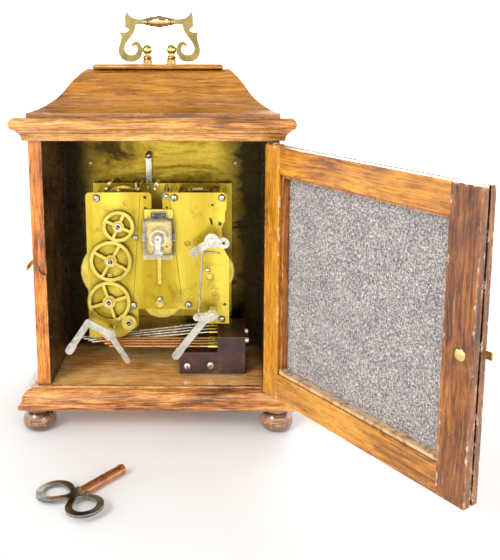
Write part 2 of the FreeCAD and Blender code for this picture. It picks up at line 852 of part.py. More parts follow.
def wheel_shape(teeth, module, thick, hub, bore, phase=0.0, spokes=4, spoke_wide=2.4):
    """A spoked wheel along Z, with a hub that stands a little proud of both faces."""
    disc = toothed_disc(teeth, module, thick, phase)
    rim = teeth * module / 2 - 2.8
    if spokes and rim > hub + 4:
        window = Part.makeCylinder(rim, thick + 2, Vector(0, 0, -1))
        window = window.cut(Part.makeCylinder(hub + 1.6, thick + 2, Vector(0, 0, -1)))
        for number in range(spokes):
            arm = Part.makeBox(rim + 2, spoke_wide, thick + 2, Vector(0, -spoke_wide / 2, -1))
            arm.rotate(Vector(), Vector(0, 0, 1), math.degrees(phase) + number * 360 / spokes)
            window = window.cut(arm)
        disc = disc.cut(window)
    disc = disc.fuse(Part.makeCylinder(hub, thick + 1, Vector(0, 0, -0.5)))
    return disc.cut(Part.makeCylinder(bore, thick + 4, Vector(0, 0, -2))).removeSplitter()


def meshing_phase(teeth, phase, other_teeth, direction):
    """The tooth angle that puts a second gear in mesh with the first, seen along `direction`."""
    here = (direction - phase) * teeth / (2 * math.pi)
    there = 0.5 - here
    return direction + math.pi - there * 2 * math.pi / other_teeth


def make_chime_gears():
    """Four spoked wheels in one train on the back plate's outer face."""
    module = float(gear_module)
    teeth = {"bottom": 74, "middle": 72, "top": 54, "drum": 26}
    gear_y = float(back_plate_rear) + 1.8
    bottom = (43.6, 98.5)
    # Bearings are measured from one gear's centre to the next, from +X towards +Z.
    chain = [
        ("bottom", "middle", math.radians(93.4)),
        ("middle", "top", math.radians(103.1)),
        ("bottom", "drum", math.radians(227.9)),
    ]
    centres = {"bottom": bottom}
    phases = {"bottom": 0.3}
    for first, second, bearing in chain:
        reach = (teeth[first] + teeth[second]) * module / 2
        x, z = centres[first]
        centres[second] = (x + reach * math.cos(bearing), z + reach * math.sin(bearing))
        # Seen along the wheel's own axis, which points to +Y, Z runs the other way round.
        phases[second] = meshing_phase(
            teeth[first], phases[first], teeth[second], -bearing
        )
    hubs = {"bottom": 4, "middle": 3.6, "top": 3.2, "drum": 3}
    for name, (x, z) in centres.items():
        bore = float(stud_radius) + float(running_gap)
        shape = wheel_shape(teeth[name], module, float(gear_thick), hubs[name], bore, phases[name])
        gear = own_shape(shape)
        gear.Placement = Placement(Vector(x, gear_y, z), AXIS_TURN["y"])
        keep(f"chime_gear_{name}", gear)
    return centres


# ---------------------------------------------------------------- movement

PILLARS = [(52.6, 189.5), (-13.3, 190), (-53.6, 190), (23, 94.6), (-24.5, 95.2), (-53.5, 82)]
DIAL_POSTS = [(50, 80), (-50, 80), (50, 180), (-50, 180)]
SMALL_SCREWS = [(0, 100), (20.3, 155), (-6.5, 191)]


def make_plates():
    pivots = [
        (barrel_spread, barrel_level, arbor_radius + running_gap),
        (-barrel_spread, barrel_level, arbor_radius + running_gap),
        (0, time_level, arbor_radius + running_gap),
        (0, hand_level, 1.2 + float(running_gap)),
    ]
    corner = 3
    east = plate_east
    outline = [
        (-59.8, 78), (-38, 78), (-38, 91), (19, 91), (19, 76), (33, 65), (east, 65),
        (east, plate_top - corner, corner), (east - corner, plate_top),
        (6.3 + corner, plate_top, corner), (6.3, plate_top - corner),
        (6.3, 173.4), (-3.3, 173.4),
        (-3.3, plate_top - corner, corner), (-3.3 - corner, plate_top), (-55.5, plate_top),
        (-57.5, plate_top - 2), (-57.5, 180), (-56, 177), (-56, 170), (-53.2, 163),
        (-54.2, 147), (-59.8, 137),
    ]
    spare = [
        (-45.6, 183.7, 1.1), (-52, 167.3, 1.9), (11.5, 190.2, 1.5), (11.4, 181, 1.1),
        (-7, 181.5, 1.1), (-56, 95.5, 1.5),
    ]
    slot = [(-46.4, 166.5), (-44.2, 166.5), (-42.6, 172.5), (-44.8, 172.5)]
    span = (back_plate_front, back_plate_rear)
    keep("movement_back_plate", prism("y", span, outline, [slot], pivots + spare))

    front = rectangle((-plate_east, plate_east), (70, plate_top))
    span = (front_plate_front, front_plate_rear)
    keep("movement_front_plate", prism("y", span, front, (), pivots))

    pillars = [
        rod(pillar_radius, "y", (front_plate_rear, back_plate_front), at) for at in PILLARS
    ]
    posts = [rod(2.5, "y", (dial_rear, front_plate_front), at) for at in DIAL_POSTS]
    keep("movement_pillars", group(pillars + posts))

    screws = []
    for at in PILLARS + SMALL_SCREWS:
        radius = screw_radius if at in PILLARS else screw_radius - 0.5
        head = rod(radius, "y", (back_plate_rear, back_plate_rear + screw_high), at)
        screws.append(head)
    keep("plate_screws", group(screws))


def make_barrels():
    """Three spring barrels with great wheels, each on an arbor with a squared winding end."""
    tip = dial_front - 2.4
    layers = [
        ("chime", barrel_spread, barrel_level, 108, 15),
        ("strike", -barrel_spread, barrel_level, 84, 15),
        ("time", 0, time_level, 74, 10),
    ]
    for name, x, z, teeth, wheel_y in layers:
        drum = rod(barrel_radius, "y", (-6, wheel_y), (x, z))
        wheel = own_shape(toothed_disc(teeth, float(gear_module), 2.4))
        wheel.Placement = Placement(Vector(float(x), wheel_y - 0.2, float(z)), AXIS_TURN["y"])
        arbor = rod(arbor_radius, "y", (front_plate_front - 1, back_plate_rear + 0.8), (x, z))
        half = 1.75
        root = front_plate_front - 0.3
        square = block((x - half, x + half), (tip, root), (z - half, z + half))
        keep(f"{name}_barrel", together([drum, wheel, arbor, square]))


def make_platform():
    """Platform escapement: a base on the back plate, a balance and a clear dust cover."""
    rear = back_plate_rear
    base = block((-cover_half, cover_half), (rear, rear + 1.6), (cover_low - 1, cover_high + 8))
    tongue = block((-1.5, 1.5), (rear, rear + 1), (114, cover_low - 1))
    cock = block((-2, 2), (rear + 1.5, rear + 3), (cover_low + 2, balance_level))
    jewel = rod(2.4, "y", (rear + 1.5, rear + 4), (0, balance_level))
    jewel_hole = rod(0.85, "y", (rear + 2, rear + 5), (0, balance_level))
    keep("platform_base", without(together([base, tongue, cock, jewel]), [jewel_hole]))

    low = rear + 1.6
    top = low + cover_deep - 1.6
    shell = block((-cover_half, cover_half), (low, top), (cover_low, cover_high))
    hollow = block(
        (cover_wall - cover_half, cover_half - cover_wall), (low - 1, top - cover_wall),
        (cover_low + cover_wall, cover_high - cover_wall),
    )
    lug_y = (low, low + 2)
    lugs = [
        block((cover_half - 0.2, cover_half + 2.2), lug_y, (153, 159)),
        block((-cover_half - 2.2, 0.2 - cover_half), lug_y, (153, 159)),
        block((-7, 7), lug_y, (cover_high - 0.2, cover_high + 6)),
    ]
    keep("dust_cover", together([without(shell, [hollow])] + lugs))

    def balance_ring(radius, span):
        return rod(radius, "y", span, (0, balance_level))

    rim_y = (rear + 8, rear + 9.6)
    rim = without(balance_ring(balance_radius, rim_y), [
        balance_ring(balance_radius - 1.3, (rim_y[0] - 1, rim_y[1] + 1))
    ])
    reach = balance_radius - 0.6
    arm = block((-reach, reach), rim_y, (balance_level - 0.7, balance_level + 0.7))
    staff = balance_ring(0.7, (rear + 2.6, rear + 12))
    roller = balance_ring(1.8, rim_y)
    keep("balance_wheel", together([rim, arm, roller, staff]))


def link(first, second, wide, y=None):
    """A flat bar with round ends between two (x, z) points."""
    y = y or (lever_plane, lever_rear)
    start, end = Vector(first[0], 0, first[1]), Vector(second[0], 0, second[1])
    along = end - start
    bar = doc.addObject("Part::Box", "Bar")
    bar.Length = along.Length
    bind(bar, "Width", y[1] - y[0])
    bar.Height = wide
    turn = Rotation(Vector(0, 1, 0), -math.degrees(math.atan2(along.z, along.x)))
    side = turn.multVec(Vector(0, 0, -wide / 2))
    bar.Placement = Placement(start + side, turn)
    bind(bar, "Placement.Base.y", y[0])
    ends = [rod(wide / 2, "y", y, point) for point in (first, second)]
    return [bar] + ends


def drilled(items, holes):
    """Fuses a lever's bars and drills it through at each (x, z, radius)."""
    span = (lever_plane - 4, lever_rear + 4)
    return without(together(items), [rod(r, "y", span, (x, z)) for x, z, r in holes])


STRIKE_PIVOT = (41.9, 74.5)
LIFT_PIVOT = (-45.4, 157)
LINK_TOP = (-37.5, 147.5)
LINK_FOOT = (-34, 91.9)
CRANK_PIVOT = (-45.5, 91.9)
SILENT_PIVOT = (12.3, 187)


def make_levers():
    bore = float(stud_radius) + float(running_gap)
    elbow, tip, foot = (60, 84.8), (74, 64), (27, 50.7)
    strike = link(STRIKE_PIVOT, elbow, 6) + link(elbow, tip, 5.5) + link(STRIKE_PIVOT, foot, 5)
    strike += [rod(5, "y", (lever_plane, lever_rear + 1), STRIKE_PIVOT)]
    strike += link(tip, (76.5, 60), 7, (lever_plane - 2.5, lever_rear + 1))
    keep("strike_hammer", drilled(strike, [(*STRIKE_PIVOT, bore)]))

    boss, finger = (-55.3, 155.3), (-29.8, 146.3)
    lift = link(LIFT_PIVOT, finger, 6.4) + link(LIFT_PIVOT, boss, 6)
    lift += [
        rod(6.3, "y", (lever_plane, lever_rear + 0.8), LIFT_PIVOT),
        rod(4.8, "y", (lever_plane, lever_rear + 1.2), boss),
    ]
    row = [(-30.4, 146.6, 0.7), (-33.8, 147.4, 0.7), (-55.3, 155.3, 1.4)]
    keep("lift_lever", drilled(lift, row + [(*LIFT_PIVOT, bore), (*LINK_TOP, 0.8)]))

    wire = 0.7
    wire_y = lever_rear + 2.2
    top, low = Vector(LINK_TOP[0], 0, LINK_TOP[1]), Vector(LINK_FOOT[0], 0, LINK_FOOT[1])
    top.y = low.y = float(wire_y)
    shaft = Part.makeCylinder(wire, (top - low).Length, low, top - low)
    knee = [Part.makeSphere(wire, point) for point in (top, low)]
    hooks = [
        Part.makeCylinder(wire, float(lever_thick) + 2.9, point, Vector(0, -1, 0))
        for point in (top, low)
    ]
    keep("lift_link", own_shape(shaft.multiFuse(knee + hooks).removeSplitter()))

    crank = link(CRANK_PIVOT, (-32.3, 89.7), 6) + link((-37.9, 86), (-15.3, 56.7), 6)
    crank += link(CRANK_PIVOT, (-37.9, 86), 6)
    crank += [rod(4.8, "y", (lever_plane, lever_rear + 0.8), CRANK_PIVOT)]
    crank += link((-17.8, 60), (-14.5, 55.6), 7, (lever_plane - 0.6, lever_rear + 0.8))
    holes = [(*CRANK_PIVOT, bore), (*LINK_FOOT, 1.2)]
    keep("hammer_crank", drilled(crank, holes))

    lever_y = (front_plate_front - 2.2, front_plate_front - 1.2)
    silent = link(SILENT_PIVOT, (12.3, 216), 5, lever_y)
    silent += [ball(3, 12.3, front_plate_front - 1.7, 219)]
    hole = rod(bore, "y", (lever_y[0] - 1, lever_y[1] + 1), SILENT_PIVOT)
    keep("silent_lever", without(together(silent), [hole]))


def make_studs(gear_centres):
    """The posts and shoulder screws that the outside gears and levers turn on."""
    studs = []
    for x, z in gear_centres.values():
        post = rod(stud_radius, "y", (back_plate_rear, back_plate_rear + 5.6), (x, z))
        head = rod(2.8, "y", (back_plate_rear + 4.6, back_plate_rear + 6.2), (x, z))
        studs.append(together([post, head]))
    for at in (STRIKE_PIVOT, LIFT_PIVOT, CRANK_PIVOT):
        post = rod(3, "y", (back_plate_rear, lever_plane - 0.2), at)
        neck = rod(stud_radius, "y", (lever_plane - 1, lever_rear + 1.6), at)
        head = rod(2.9, "y", (lever_rear + 1.2, lever_rear + 2.6), at)
        studs.append(together([post, neck, head]))
    stud = rod(stud_radius, "y", (front_plate_front - 3.2, front_plate_front), SILENT_PIVOT)
    cap = rod(2.6, "y", (front_plate_front - 3.4, front_plate_front - 2.5), SILENT_PIVOT)
    studs.append(together([stud, cap]))
    keep("pivot_studs", group(studs))


# ---------------------------------------------------------------- gong

def make_gong():
    """A stepped iron block on the floor with eight tuned rods."""
    outline = [
        (block_west, floor_top), (block_east, floor_top), (block_east, block_low_top),
        (block_step, block_low_top), (block_step, block_high_top), (block_west, block_high_top),
    ]
    keep("gong_block", prism("y", (0, block_deep), outline))

    # The four steel rods at the front slope down from the block; the copper ones lie level.
    collars, steel, copper = [], [], []
    collar_end = block_step + 8
    for number in range(8):
        sloped = number < 4
        y = rod_pitch * number + 4
        z = 68.4 - 0.9 * number if sloped else 63.2 - 0.35 * number
        fall = 7 - 0.6 * number if sloped else 0
        long = 118 - 4.6 * number
        collars.append(rod(2, "x", (block_step, collar_end), (y, z)))
        root = collar_end + (0.15 if sloped else 0)
        tuned = rod(rod_radius, "x", (root, root + long), (y, z))
        tuned.Placement.Rotation = Rotation(Vector(0, 1, 0), 90 + fall)
        (steel if sloped else copper).append(tuned)
    keep("rod_collars", group(collars))
    keep("gong_rods_steel", group(steel))
    keep("gong_rods_copper", group(copper))

    screws = []
    for x, z in ((-44, 46), (-24, 45)):
        screws.append(rod(3, "y", (block_deep, block_deep + 1.4), (x, z)))
    for y in (12, 32):
        screws.append(rod(3.4, "x", (block_west - 3, block_west), (y, 64)))
    keep("block_screws", group(screws))


# ---------------------------------------------------------------- winding key

def make_key():
    """A two-looped key lying on the surface, its tube pointing back towards the clock."""
    radius = float(key_tube_radius)
    long = float(key_tube_long)
    thick = float(key_plate)
    half = float(key_square) / 2
    start = 5.0
    tube = Part.makeCylinder(radius, long, Vector(start, 0, 0), Vector(1, 0, 0))
    tube = tube.cut(Part.makeBox(14, 2 * half, 2 * half, Vector(start + long - 13, -half, -half)))
    ring = Part.makeCylinder(radius + 0.3, 1.4, Vector(start + long - 3, 0, 0), Vector(1, 0, 0))
    ring = ring.cut(Part.makeCylinder(radius, 2, Vector(start + long - 4, 0, 0), Vector(1, 0, 0)))

    # The bow is the outer of two egg-shaped loops that lean back from the tube.
    loops, windows = [], []
    for side in (-1, 1):
        outer = egg(13.5, 31, thick, 0)
        inner = egg(13.5, 31, thick + 2, 5)
        for piece, store in ((outer, loops), (inner, windows)):
            piece.translate(Vector(0, 0, -piece.BoundBox.ZLength / 2))
            piece.rotate(Vector(), Vector(0, 0, 1), side * 108)
            store.append(piece)
    root = Part.makeBox(15, 13, thick, Vector(-7, -6.5, -thick / 2))
    bow = loops[0].multiFuse([loops[1], root])
    for window in windows:
        bow = bow.cut(window)
    socket = Part.makeCylinder(radius, 10, Vector(start, 0, 0), Vector(1, 0, 0))
    bow = bow.cut(socket).removeSplitter()

    tube = tube.fuse(ring)
    lean = -4.4
    bearing = math.degrees(math.atan2(-30.5, -25.9))
    turn = Rotation(Vector(0, 0, 1), bearing) * Rotation(Vector(1, 0, 0), lean)
    where = Placement(Vector(46.6 + 3, 167 + 4, radius + 0.31), turn)
    for label, shape in (("key_bow", bow), ("key_tube", tube)):
        piece = own_shape(shape)
        piece.Placement = where
        keep(label, piece)


def egg(wide, long, thick, margin):
    """An egg-shaped plate along X, its narrow end at the origin, pulled in by a margin."""
    big = wide - margin
    small = max(big * 0.45, 1.5)
    near, far = small + margin, long - wide
    lean = math.acos((big - small) / (far - near))
    tips = []
    for centre, radius in ((near, small), (far, big)):
        tips.append(Vector(centre - radius * math.cos(lean), radius * math.sin(lean), 0))
    low = [Vector(p.x, -p.y, 0) for p in tips]
    edges = [
        Part.makeLine(tips[0], tips[1]),
        Part.Arc(tips[1], Vector(far + big, 0, 0), low[1]).toShape(),
        Part.makeLine(low[1], low[0]),
        Part.Arc(low[0], Vector(near - small, 0, 0), tips[0]).toShape(),
    ]
    return Part.Face(Part.Wire(edges)).extrude(Vector(0, 0, thick))


# ---------------------------------------------------------------- whole clock

cap_level = make_case()
rear_pivot = make_rear_door()
front_pivot = make_front_door()
make_pivots([rear_pivot, front_pivot])
recess_for_pivots("case_side_left")
make_handle(cap_level)
make_dial()
make_hands()
make_plates()
make_barrels()
make_platform()
gears = make_chime_gears()
make_levers()
make_studs(gears)
make_gong()
make_key()
doc.recompute()

for item in doc.Objects:
    if "Invalid" in item.State or "Error" in item.State:
        raise RuntimeError(f"{item.Label} ({item.Name}) did not compute: {item.State}")
os.makedirs("parts", exist_ok=True)
for label, item in subparts.items():
    if item.Shape.isNull() or not item.Shape.isValid():
        raise RuntimeError(f"{label} has no valid shape")
    item.Shape.exportStep(f"parts/{label}.step")
    solids = len(item.Shape.Solids)
    print(f"{label}: {solids} solid(s), {item.Shape.Volume:.1f} mm3")
print(len(subparts), "sub-parts")
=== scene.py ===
import math

import bmesh
import bpy
from mathutils import Matrix, Vector


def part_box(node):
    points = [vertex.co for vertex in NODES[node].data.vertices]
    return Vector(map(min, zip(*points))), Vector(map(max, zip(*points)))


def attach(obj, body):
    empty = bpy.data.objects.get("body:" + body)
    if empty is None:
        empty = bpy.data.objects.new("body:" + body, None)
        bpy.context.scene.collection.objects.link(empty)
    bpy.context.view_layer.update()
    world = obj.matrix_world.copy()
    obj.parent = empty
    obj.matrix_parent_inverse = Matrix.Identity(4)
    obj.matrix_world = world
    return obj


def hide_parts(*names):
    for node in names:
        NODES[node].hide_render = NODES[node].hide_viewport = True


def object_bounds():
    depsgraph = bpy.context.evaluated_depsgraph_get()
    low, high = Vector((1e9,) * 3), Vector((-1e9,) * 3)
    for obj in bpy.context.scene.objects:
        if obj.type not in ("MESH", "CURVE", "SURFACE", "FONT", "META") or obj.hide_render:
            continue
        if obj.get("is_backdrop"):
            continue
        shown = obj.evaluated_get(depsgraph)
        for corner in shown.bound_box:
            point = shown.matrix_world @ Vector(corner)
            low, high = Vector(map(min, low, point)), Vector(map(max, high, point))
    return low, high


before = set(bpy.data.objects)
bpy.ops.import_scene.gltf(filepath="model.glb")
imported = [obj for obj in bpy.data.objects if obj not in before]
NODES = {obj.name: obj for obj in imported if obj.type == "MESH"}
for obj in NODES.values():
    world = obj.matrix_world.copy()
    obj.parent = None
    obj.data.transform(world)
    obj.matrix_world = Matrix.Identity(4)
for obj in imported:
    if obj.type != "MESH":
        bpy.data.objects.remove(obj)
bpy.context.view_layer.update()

DOOR_TURN = math.radians(-126)
scene = bpy.context.scene
scene.view_settings.view_transform = "Standard"


# ------------------------------------------------------------------ material graphs

class Graph:
    """A material's node tree, with short calls for the nodes used here."""

    def __init__(self, name):
        self.material = bpy.data.materials.new(name)
        self.material.use_nodes = True
        self.tree = self.material.node_tree
        self.tree.nodes.clear()
        output = self.tree.nodes.new("ShaderNodeOutputMaterial")
        self.shader = self.tree.nodes.new("ShaderNodeBsdfPrincipled")
        self.tree.links.new(self.shader.outputs[0], output.inputs["Surface"])
        self.output = output
        self.place = self.node("ShaderNodeTexCoord").outputs["Object"]

    def node(self, kind, inputs=(), **settings):
        made = self.tree.nodes.new(kind)
        for key, value in settings.items():
            setattr(made, key, value)
        for key, value in dict(inputs).items():
            self.feed(made.inputs[key], value)
        return made

    def feed(self, socket, value):
        if isinstance(value, bpy.types.NodeSocket):
            self.tree.links.new(value, socket)
        elif value is not None:
            socket.default_value = value

    def surface(self, **values):
        for key, value in values.items():
            name = key.replace("_", " ")
            if name in ("Base Color", "Coat Tint", "Sheen Tint") and isinstance(value, tuple):
                value = (*value, 1)
            self.feed(self.shader.inputs[name], value)
        return self.material

    def mapped(self, scale=(1, 1, 1), turn=(0, 0, 0), move=(0, 0, 0), source=None):
        where = self.place if source is None else source
        return self.node("ShaderNodeMapping", {
            "Vector": where, "Location": move, "Rotation": turn, "Scale": scale,
        }).outputs[0]

    def noise(self, where, scale, detail=3.0, rough=0.5, distort=0.0):
        return self.node("ShaderNodeTexNoise", {
            "Vector": where, "Scale": scale, "Detail": detail, "Roughness": rough,
            "Distortion": distort,
        }).outputs[0]

    def calc(self, operation, first, second=None, clamp=False):
        return self.node("ShaderNodeMath", {
            0: first, 1: second,
        }, operation=operation, use_clamp=clamp).outputs[0]

    def fit(self, value, low, high, new_low=0.0, new_high=1.0):
        return self.node("ShaderNodeMapRange", {
            "Value": value, "From Min": low, "From Max": high,
            "To Min": new_low, "To Max": new_high,
        }).outputs[0]

    def ramp(self, value, stops):
        made = self.node("ShaderNodeValToRGB", {0: value})
        points = made.color_ramp.elements
        while len(points) < len(stops):
            points.new(0.5)
        for point, (position, colour) in zip(points, stops):
            point.position = position
            point.color = (*colour, 1)
        return made.outputs[0]

    def mix(self, share, first, second):
        made = self.node("ShaderNodeMix", data_type="RGBA")
        for index, value in ((0, share), (6, first), (7, second)):
            if isinstance(value, tuple):
                value = (*value, 1)
            self.feed(made.inputs[index], value)
        return made.outputs[2]

    def split(self, source=None):
        where = self.place if source is None else source
        return self.node("ShaderNodeSeparateXYZ", {0: where}).outputs

    def bump(self, height, strength, distance):
        return self.node("ShaderNodeBump", {
            "Height": height, "Strength": strength, "Distance": distance,
        }).outputs[0]

    def crevices(self, distance):
        """Low in corners and grooves, 1 on open faces."""
        return self.node("ShaderNodeAmbientOcclusion", {"Distance": distance},
                         samples=4).outputs["AO"]

    def edges(self, radius, low=0.97, high=0.80):
        """1 along sharp edges, 0 on flat faces."""
        rounded = self.node("ShaderNodeBevel", {"Radius": radius}, samples=4).outputs[0]
        normal = self.node("ShaderNodeNewGeometry").outputs["Normal"]
        facing = self.node("ShaderNodeVectorMath", {0: rounded, 1: normal}, operation="DOT_PRODUCT")
        return self.fit(facing.outputs["Value"], low, high)


def srgb(red, green, blue):
    """A colour given in 0..255 display values, as linear light."""
    def channel(value):
        value /= 255
        return value / 12.92 if value <= 0.04045 else ((value + 0.055) / 1.055) ** 2.4
    return tuple(channel(value) for value in (red, green, blue))


def drawn_out(axis, share):
    """A mapping scale that stretches a texture along one axis."""
    return tuple(share if one == axis else 1 for one in "xyz")


def wood(name, dark, middle, light, along="z", turn=0.0, figure=0.4, rough=0.25, wear=0.6,
         coat=0.4, inside=None, seed=0.0, chips=0.0, hinge_side=None, ledge=None):
    """Stained and polished wood: grain along one axis, pores, painted shade in corners, pale edges
    that are partly rubbed wood and partly a painted highlight.

    figure: depth of the large clouds; wear: paleness of the edges, partly rubbed wood and partly a
    painted highlight; chips: torn edges; inside: stain within the case; hinge_side: paler stain
    towards the hinges; ledge: level below which a patchy pale painted reflection is laid.
    """
    g = Graph(name)
    squeeze = drawn_out(along, 0.05)
    turned = g.mapped(turn=(0, 0, turn), move=(seed, seed * 0.7, seed * 0.3))
    drift = g.node("ShaderNodeTexNoise", {
        "Vector": turned, "Scale": 11.0, "Detail": 2.0,
    }).outputs[1]
    drift = g.node("ShaderNodeVectorMath", {0: drift, 1: (0.010, 0.010, 0.010)},
                   operation="MULTIPLY").outputs[0]
    swayed = g.node("ShaderNodeVectorMath", {0: turned, 1: drift}, operation="ADD").outputs[0]
    line = g.mapped(squeeze, source=swayed)
    rings = g.noise(line, 430, 4, 0.55, 0.5)
    fibre = g.noise(line, 900, 3, 0.6)
    pores = g.noise(g.mapped(squeeze, source=turned), 2300, 2, 0.6)
    blotch = g.noise(g.mapped(drawn_out(along, 0.4), source=turned), 24, 4, 0.6, 0.6)
    tone = g.calc("ADD", g.calc("MULTIPLY", rings, 0.34), g.calc("MULTIPLY", fibre, 0.42))
    tone = g.calc("ADD", tone, 0.11)
    tone = g.calc("ADD", tone, g.calc("MULTIPLY", g.calc("SUBTRACT", blotch, 0.5), figure))
    colour = g.ramp(tone, [(0.37, dark), (0.475, middle), (0.60, light)])
    if hinge_side is not None:
        paler = g.ramp(tone, [(0.34, hinge_side[0]), (0.46, hinge_side[1]), (0.62, hinge_side[2])])
        colour = g.mix(g.fit(g.split()[0], -0.150, -0.140), colour, paler)
    pore_mask = g.fit(pores, 0.42, 0.33)
    shade = tuple(0.22 * value for value in dark)
    colour = g.mix(g.calc("MULTIPLY", pore_mask, 0.85), colour, shade)
    # Painted shade: the wood is darkened towards its pore colour in corners and grooves, where
    # shade falls.
    painted_crevice_shade = g.fit(g.crevices(0.009), 0.84, 0.42, 0.0, 0.92)
    colour = g.mix(painted_crevice_shade, colour, shade)
    rough_edge = g.noise(turned, 120, 4, 0.7)
    # Pale edges: partly worn wood and partly a painted highlight, laid on most strongly for the top
    # slab and base.
    worn_and_highlit_edges = g.calc("MULTIPLY", g.edges(0.0013), g.fit(rough_edge, 0.46, 0.62))
    pale = tuple(min(1.0, 0.30 + 0.8 * value) for value in light)
    colour = g.mix(g.calc("MULTIPLY", worn_and_highlit_edges, wear), colour, pale)
    # Painted reflection: a patchy pale tan laid on the bead below the ledge level, standing for the
    # glare on the bottom ledge.
    if ledge is not None:
        painted_ledge_reflection = g.calc("MULTIPLY", g.fit(g.split()[2], ledge + 0.001, ledge - 0.001),
                      g.fit(rough_edge, 0.40, 0.52, 0.25, 1.0))
        colour = g.mix(painted_ledge_reflection, colour, (0.72, 0.50, 0.27))
    if chips:
        torn = g.calc("MULTIPLY", g.edges(0.0030, 0.985, 0.9), g.fit(rough_edge, 0.56, 0.60))
        colour = g.mix(g.calc("MULTIPLY", torn, chips), colour, (0.92, 0.78, 0.58))
    roughness = g.fit(g.noise(turned, 60, 4, 0.6), 0.3, 0.7, rough - 0.08, rough + 0.12)
    if inside is not None:
        side = g.calc("ABSOLUTE", g.split()[0])
        inner = g.calc("MULTIPLY", g.fit(side, 0.0899, 0.0896),
                       g.fit(g.split()[1], 0.0648, 0.0646))
        stained = g.ramp(g.noise(turned, 22, 4, 0.65), [(0.35, inside[0]), (0.75, inside[1])])
        colour = g.mix(inner, colour, g.mix(g.calc("MULTIPLY", fibre, 0.5), stained, inside[0]))
    height = g.calc("ADD", g.calc("MULTIPLY", pore_mask, -0.6), g.calc("MULTIPLY", fibre, 0.35))
    normal = g.bump(height, 0.25, 0.0003)
    return g.surface(Base_Color=colour, Roughness=roughness, Normal=normal,
                     Coat_Weight=coat, Coat_Roughness=0.09)


def metal(name, colour, tarnish, rough=0.3, lines=None, line_scale=900.0, spots=0.3, bumpy=0.08,
          wear=0.0, wear_colour=(0.9, 0.85, 0.7), blotch_scale=35.0, crevice=0.0):
    """A metal with tarnish clouds, fine tool lines along one axis, rubbed edges and, where crevice
    is set, painted shade in corners.
    """
    g = Graph(name)
    cloud = g.noise(g.place, blotch_scale, 5, 0.65, 0.6)
    shade = g.mix(g.fit(cloud, 0.45, 0.72, 0.0, spots), colour, tarnish)
    roughness = g.fit(g.noise(g.place, 130, 4, 0.6), 0.3, 0.7, rough - 0.08, rough + 0.10)
    if lines:
        scratch = g.noise(g.mapped(drawn_out(lines, 0.03)), line_scale, 2, 0.6)
    else:
        scratch = g.noise(g.place, line_scale, 3, 0.6)
    shade = g.mix(g.fit(scratch, 0.52, 0.75, 0.0, 0.25), shade, tarnish)
    if wear:
        shade = g.mix(g.calc("MULTIPLY", g.edges(0.0007), wear), shade, wear_colour)
    # Painted shade: the metal is darkened towards a dark tarnish colour in corners and between
    # parts.
    if crevice:
        shade = g.mix(g.fit(g.crevices(0.004), 0.8, 0.3, 0.0, crevice), shade,
                      tuple(0.2 * value for value in tarnish))
    return g.surface(Base_Color=shade, Metallic=1.0, Roughness=roughness,
                     Normal=g.bump(scratch, bumpy, 0.0003))


def movement_plate(name, colour, band, tarnish):
    """Satin sheet brass with painted broad upright reflections, fine rolling lines, small stains,
    painted highlights along its edges and painted shade in its corners.
    """
    g = Graph(name)
    broad = g.noise(g.mapped((1, 1, 0.12), turn=(0, 0.09, 0)), 38, 2, 0.5)
    fine = g.noise(g.mapped((1, 1, 0.02)), 1300, 2, 0.6)
    stain = g.noise(g.place, 48, 5, 0.7, 0.5)
    shade = g.mix(g.fit(broad, 0.36, 0.64, 0.0, 0.9), colour, band)
    shade = g.mix(g.fit(stain, 0.56, 0.76, 0.0, 0.7), shade, tarnish)
    shade = g.mix(g.fit(fine, 0.5, 0.8, 0.0, 0.25), shade, tarnish)
    # Painted highlight: the plate's edges are turned pale.
    shade = g.mix(g.calc("MULTIPLY", g.edges(0.0006), 0.6), shade, srgb(255, 244, 176))
    # Painted shade: the plate is darkened in corners and beside the parts on it, where shade falls.
    shade = g.mix(g.fit(g.crevices(0.008), 0.88, 0.35, 0.0, 0.95), shade, srgb(52, 38, 6))
    roughness = g.fit(stain, 0.3, 0.7, 0.24, 0.40)
    return g.surface(Base_Color=shade, Metallic=0.85, Roughness=roughness,
                     Normal=g.bump(fine, 0.10, 0.0002))


def dial_back(name):
    """The dial plate's rear: lacquered brass with dark clouds, darkened towards its sides and its
    bottom by a painted dark reflection.
    """
    g = Graph(name)
    x, y, z = g.split()
    cloud = g.noise(g.mapped((0.6, 1, 1.7)), 17, 4, 0.6, 1.2)
    fine = g.noise(g.mapped((0.05, 1, 1)), 900, 2, 0.6)
    speck = g.noise(g.place, 160, 4, 0.7)
    shade = g.ramp(cloud, [
        (0.34, srgb(54, 40, 6)), (0.47, srgb(138, 112, 28)), (0.57, srgb(184, 158, 54)),
        (0.68, srgb(118, 92, 18)),
    ])
    # Painted reflection: the plate goes nearly black towards its sides and darker towards its
    # bottom, standing for the dark surroundings it reflects.
    reach = g.calc("ADD", g.calc("ABSOLUTE", x),
                   g.calc("MULTIPLY", g.calc("SUBTRACT", cloud, 0.5), 0.05))
    shade = g.mix(g.fit(reach, 0.050, 0.074, 0.0, 0.97), shade, srgb(24, 16, 4))
    shade = g.mix(g.fit(z, 0.12, 0.05, 0.0, 0.75), shade, srgb(44, 30, 8))
    shade = g.mix(g.fit(speck, 0.62, 0.72, 0.0, 0.6), shade, srgb(52, 40, 8))
    brushed = g.mix(g.fit(fine, 0.35, 0.65), srgb(196, 166, 88), srgb(226, 200, 122))
    shade = g.mix(g.fit(y, -0.0198, -0.0199), shade, brushed)
    return g.surface(Base_Color=shade, Metallic=0.9, Roughness=g.fit(speck, 0.3, 0.7, 0.2, 0.36),
                     Normal=g.bump(fine, 0.12, 0.0003))


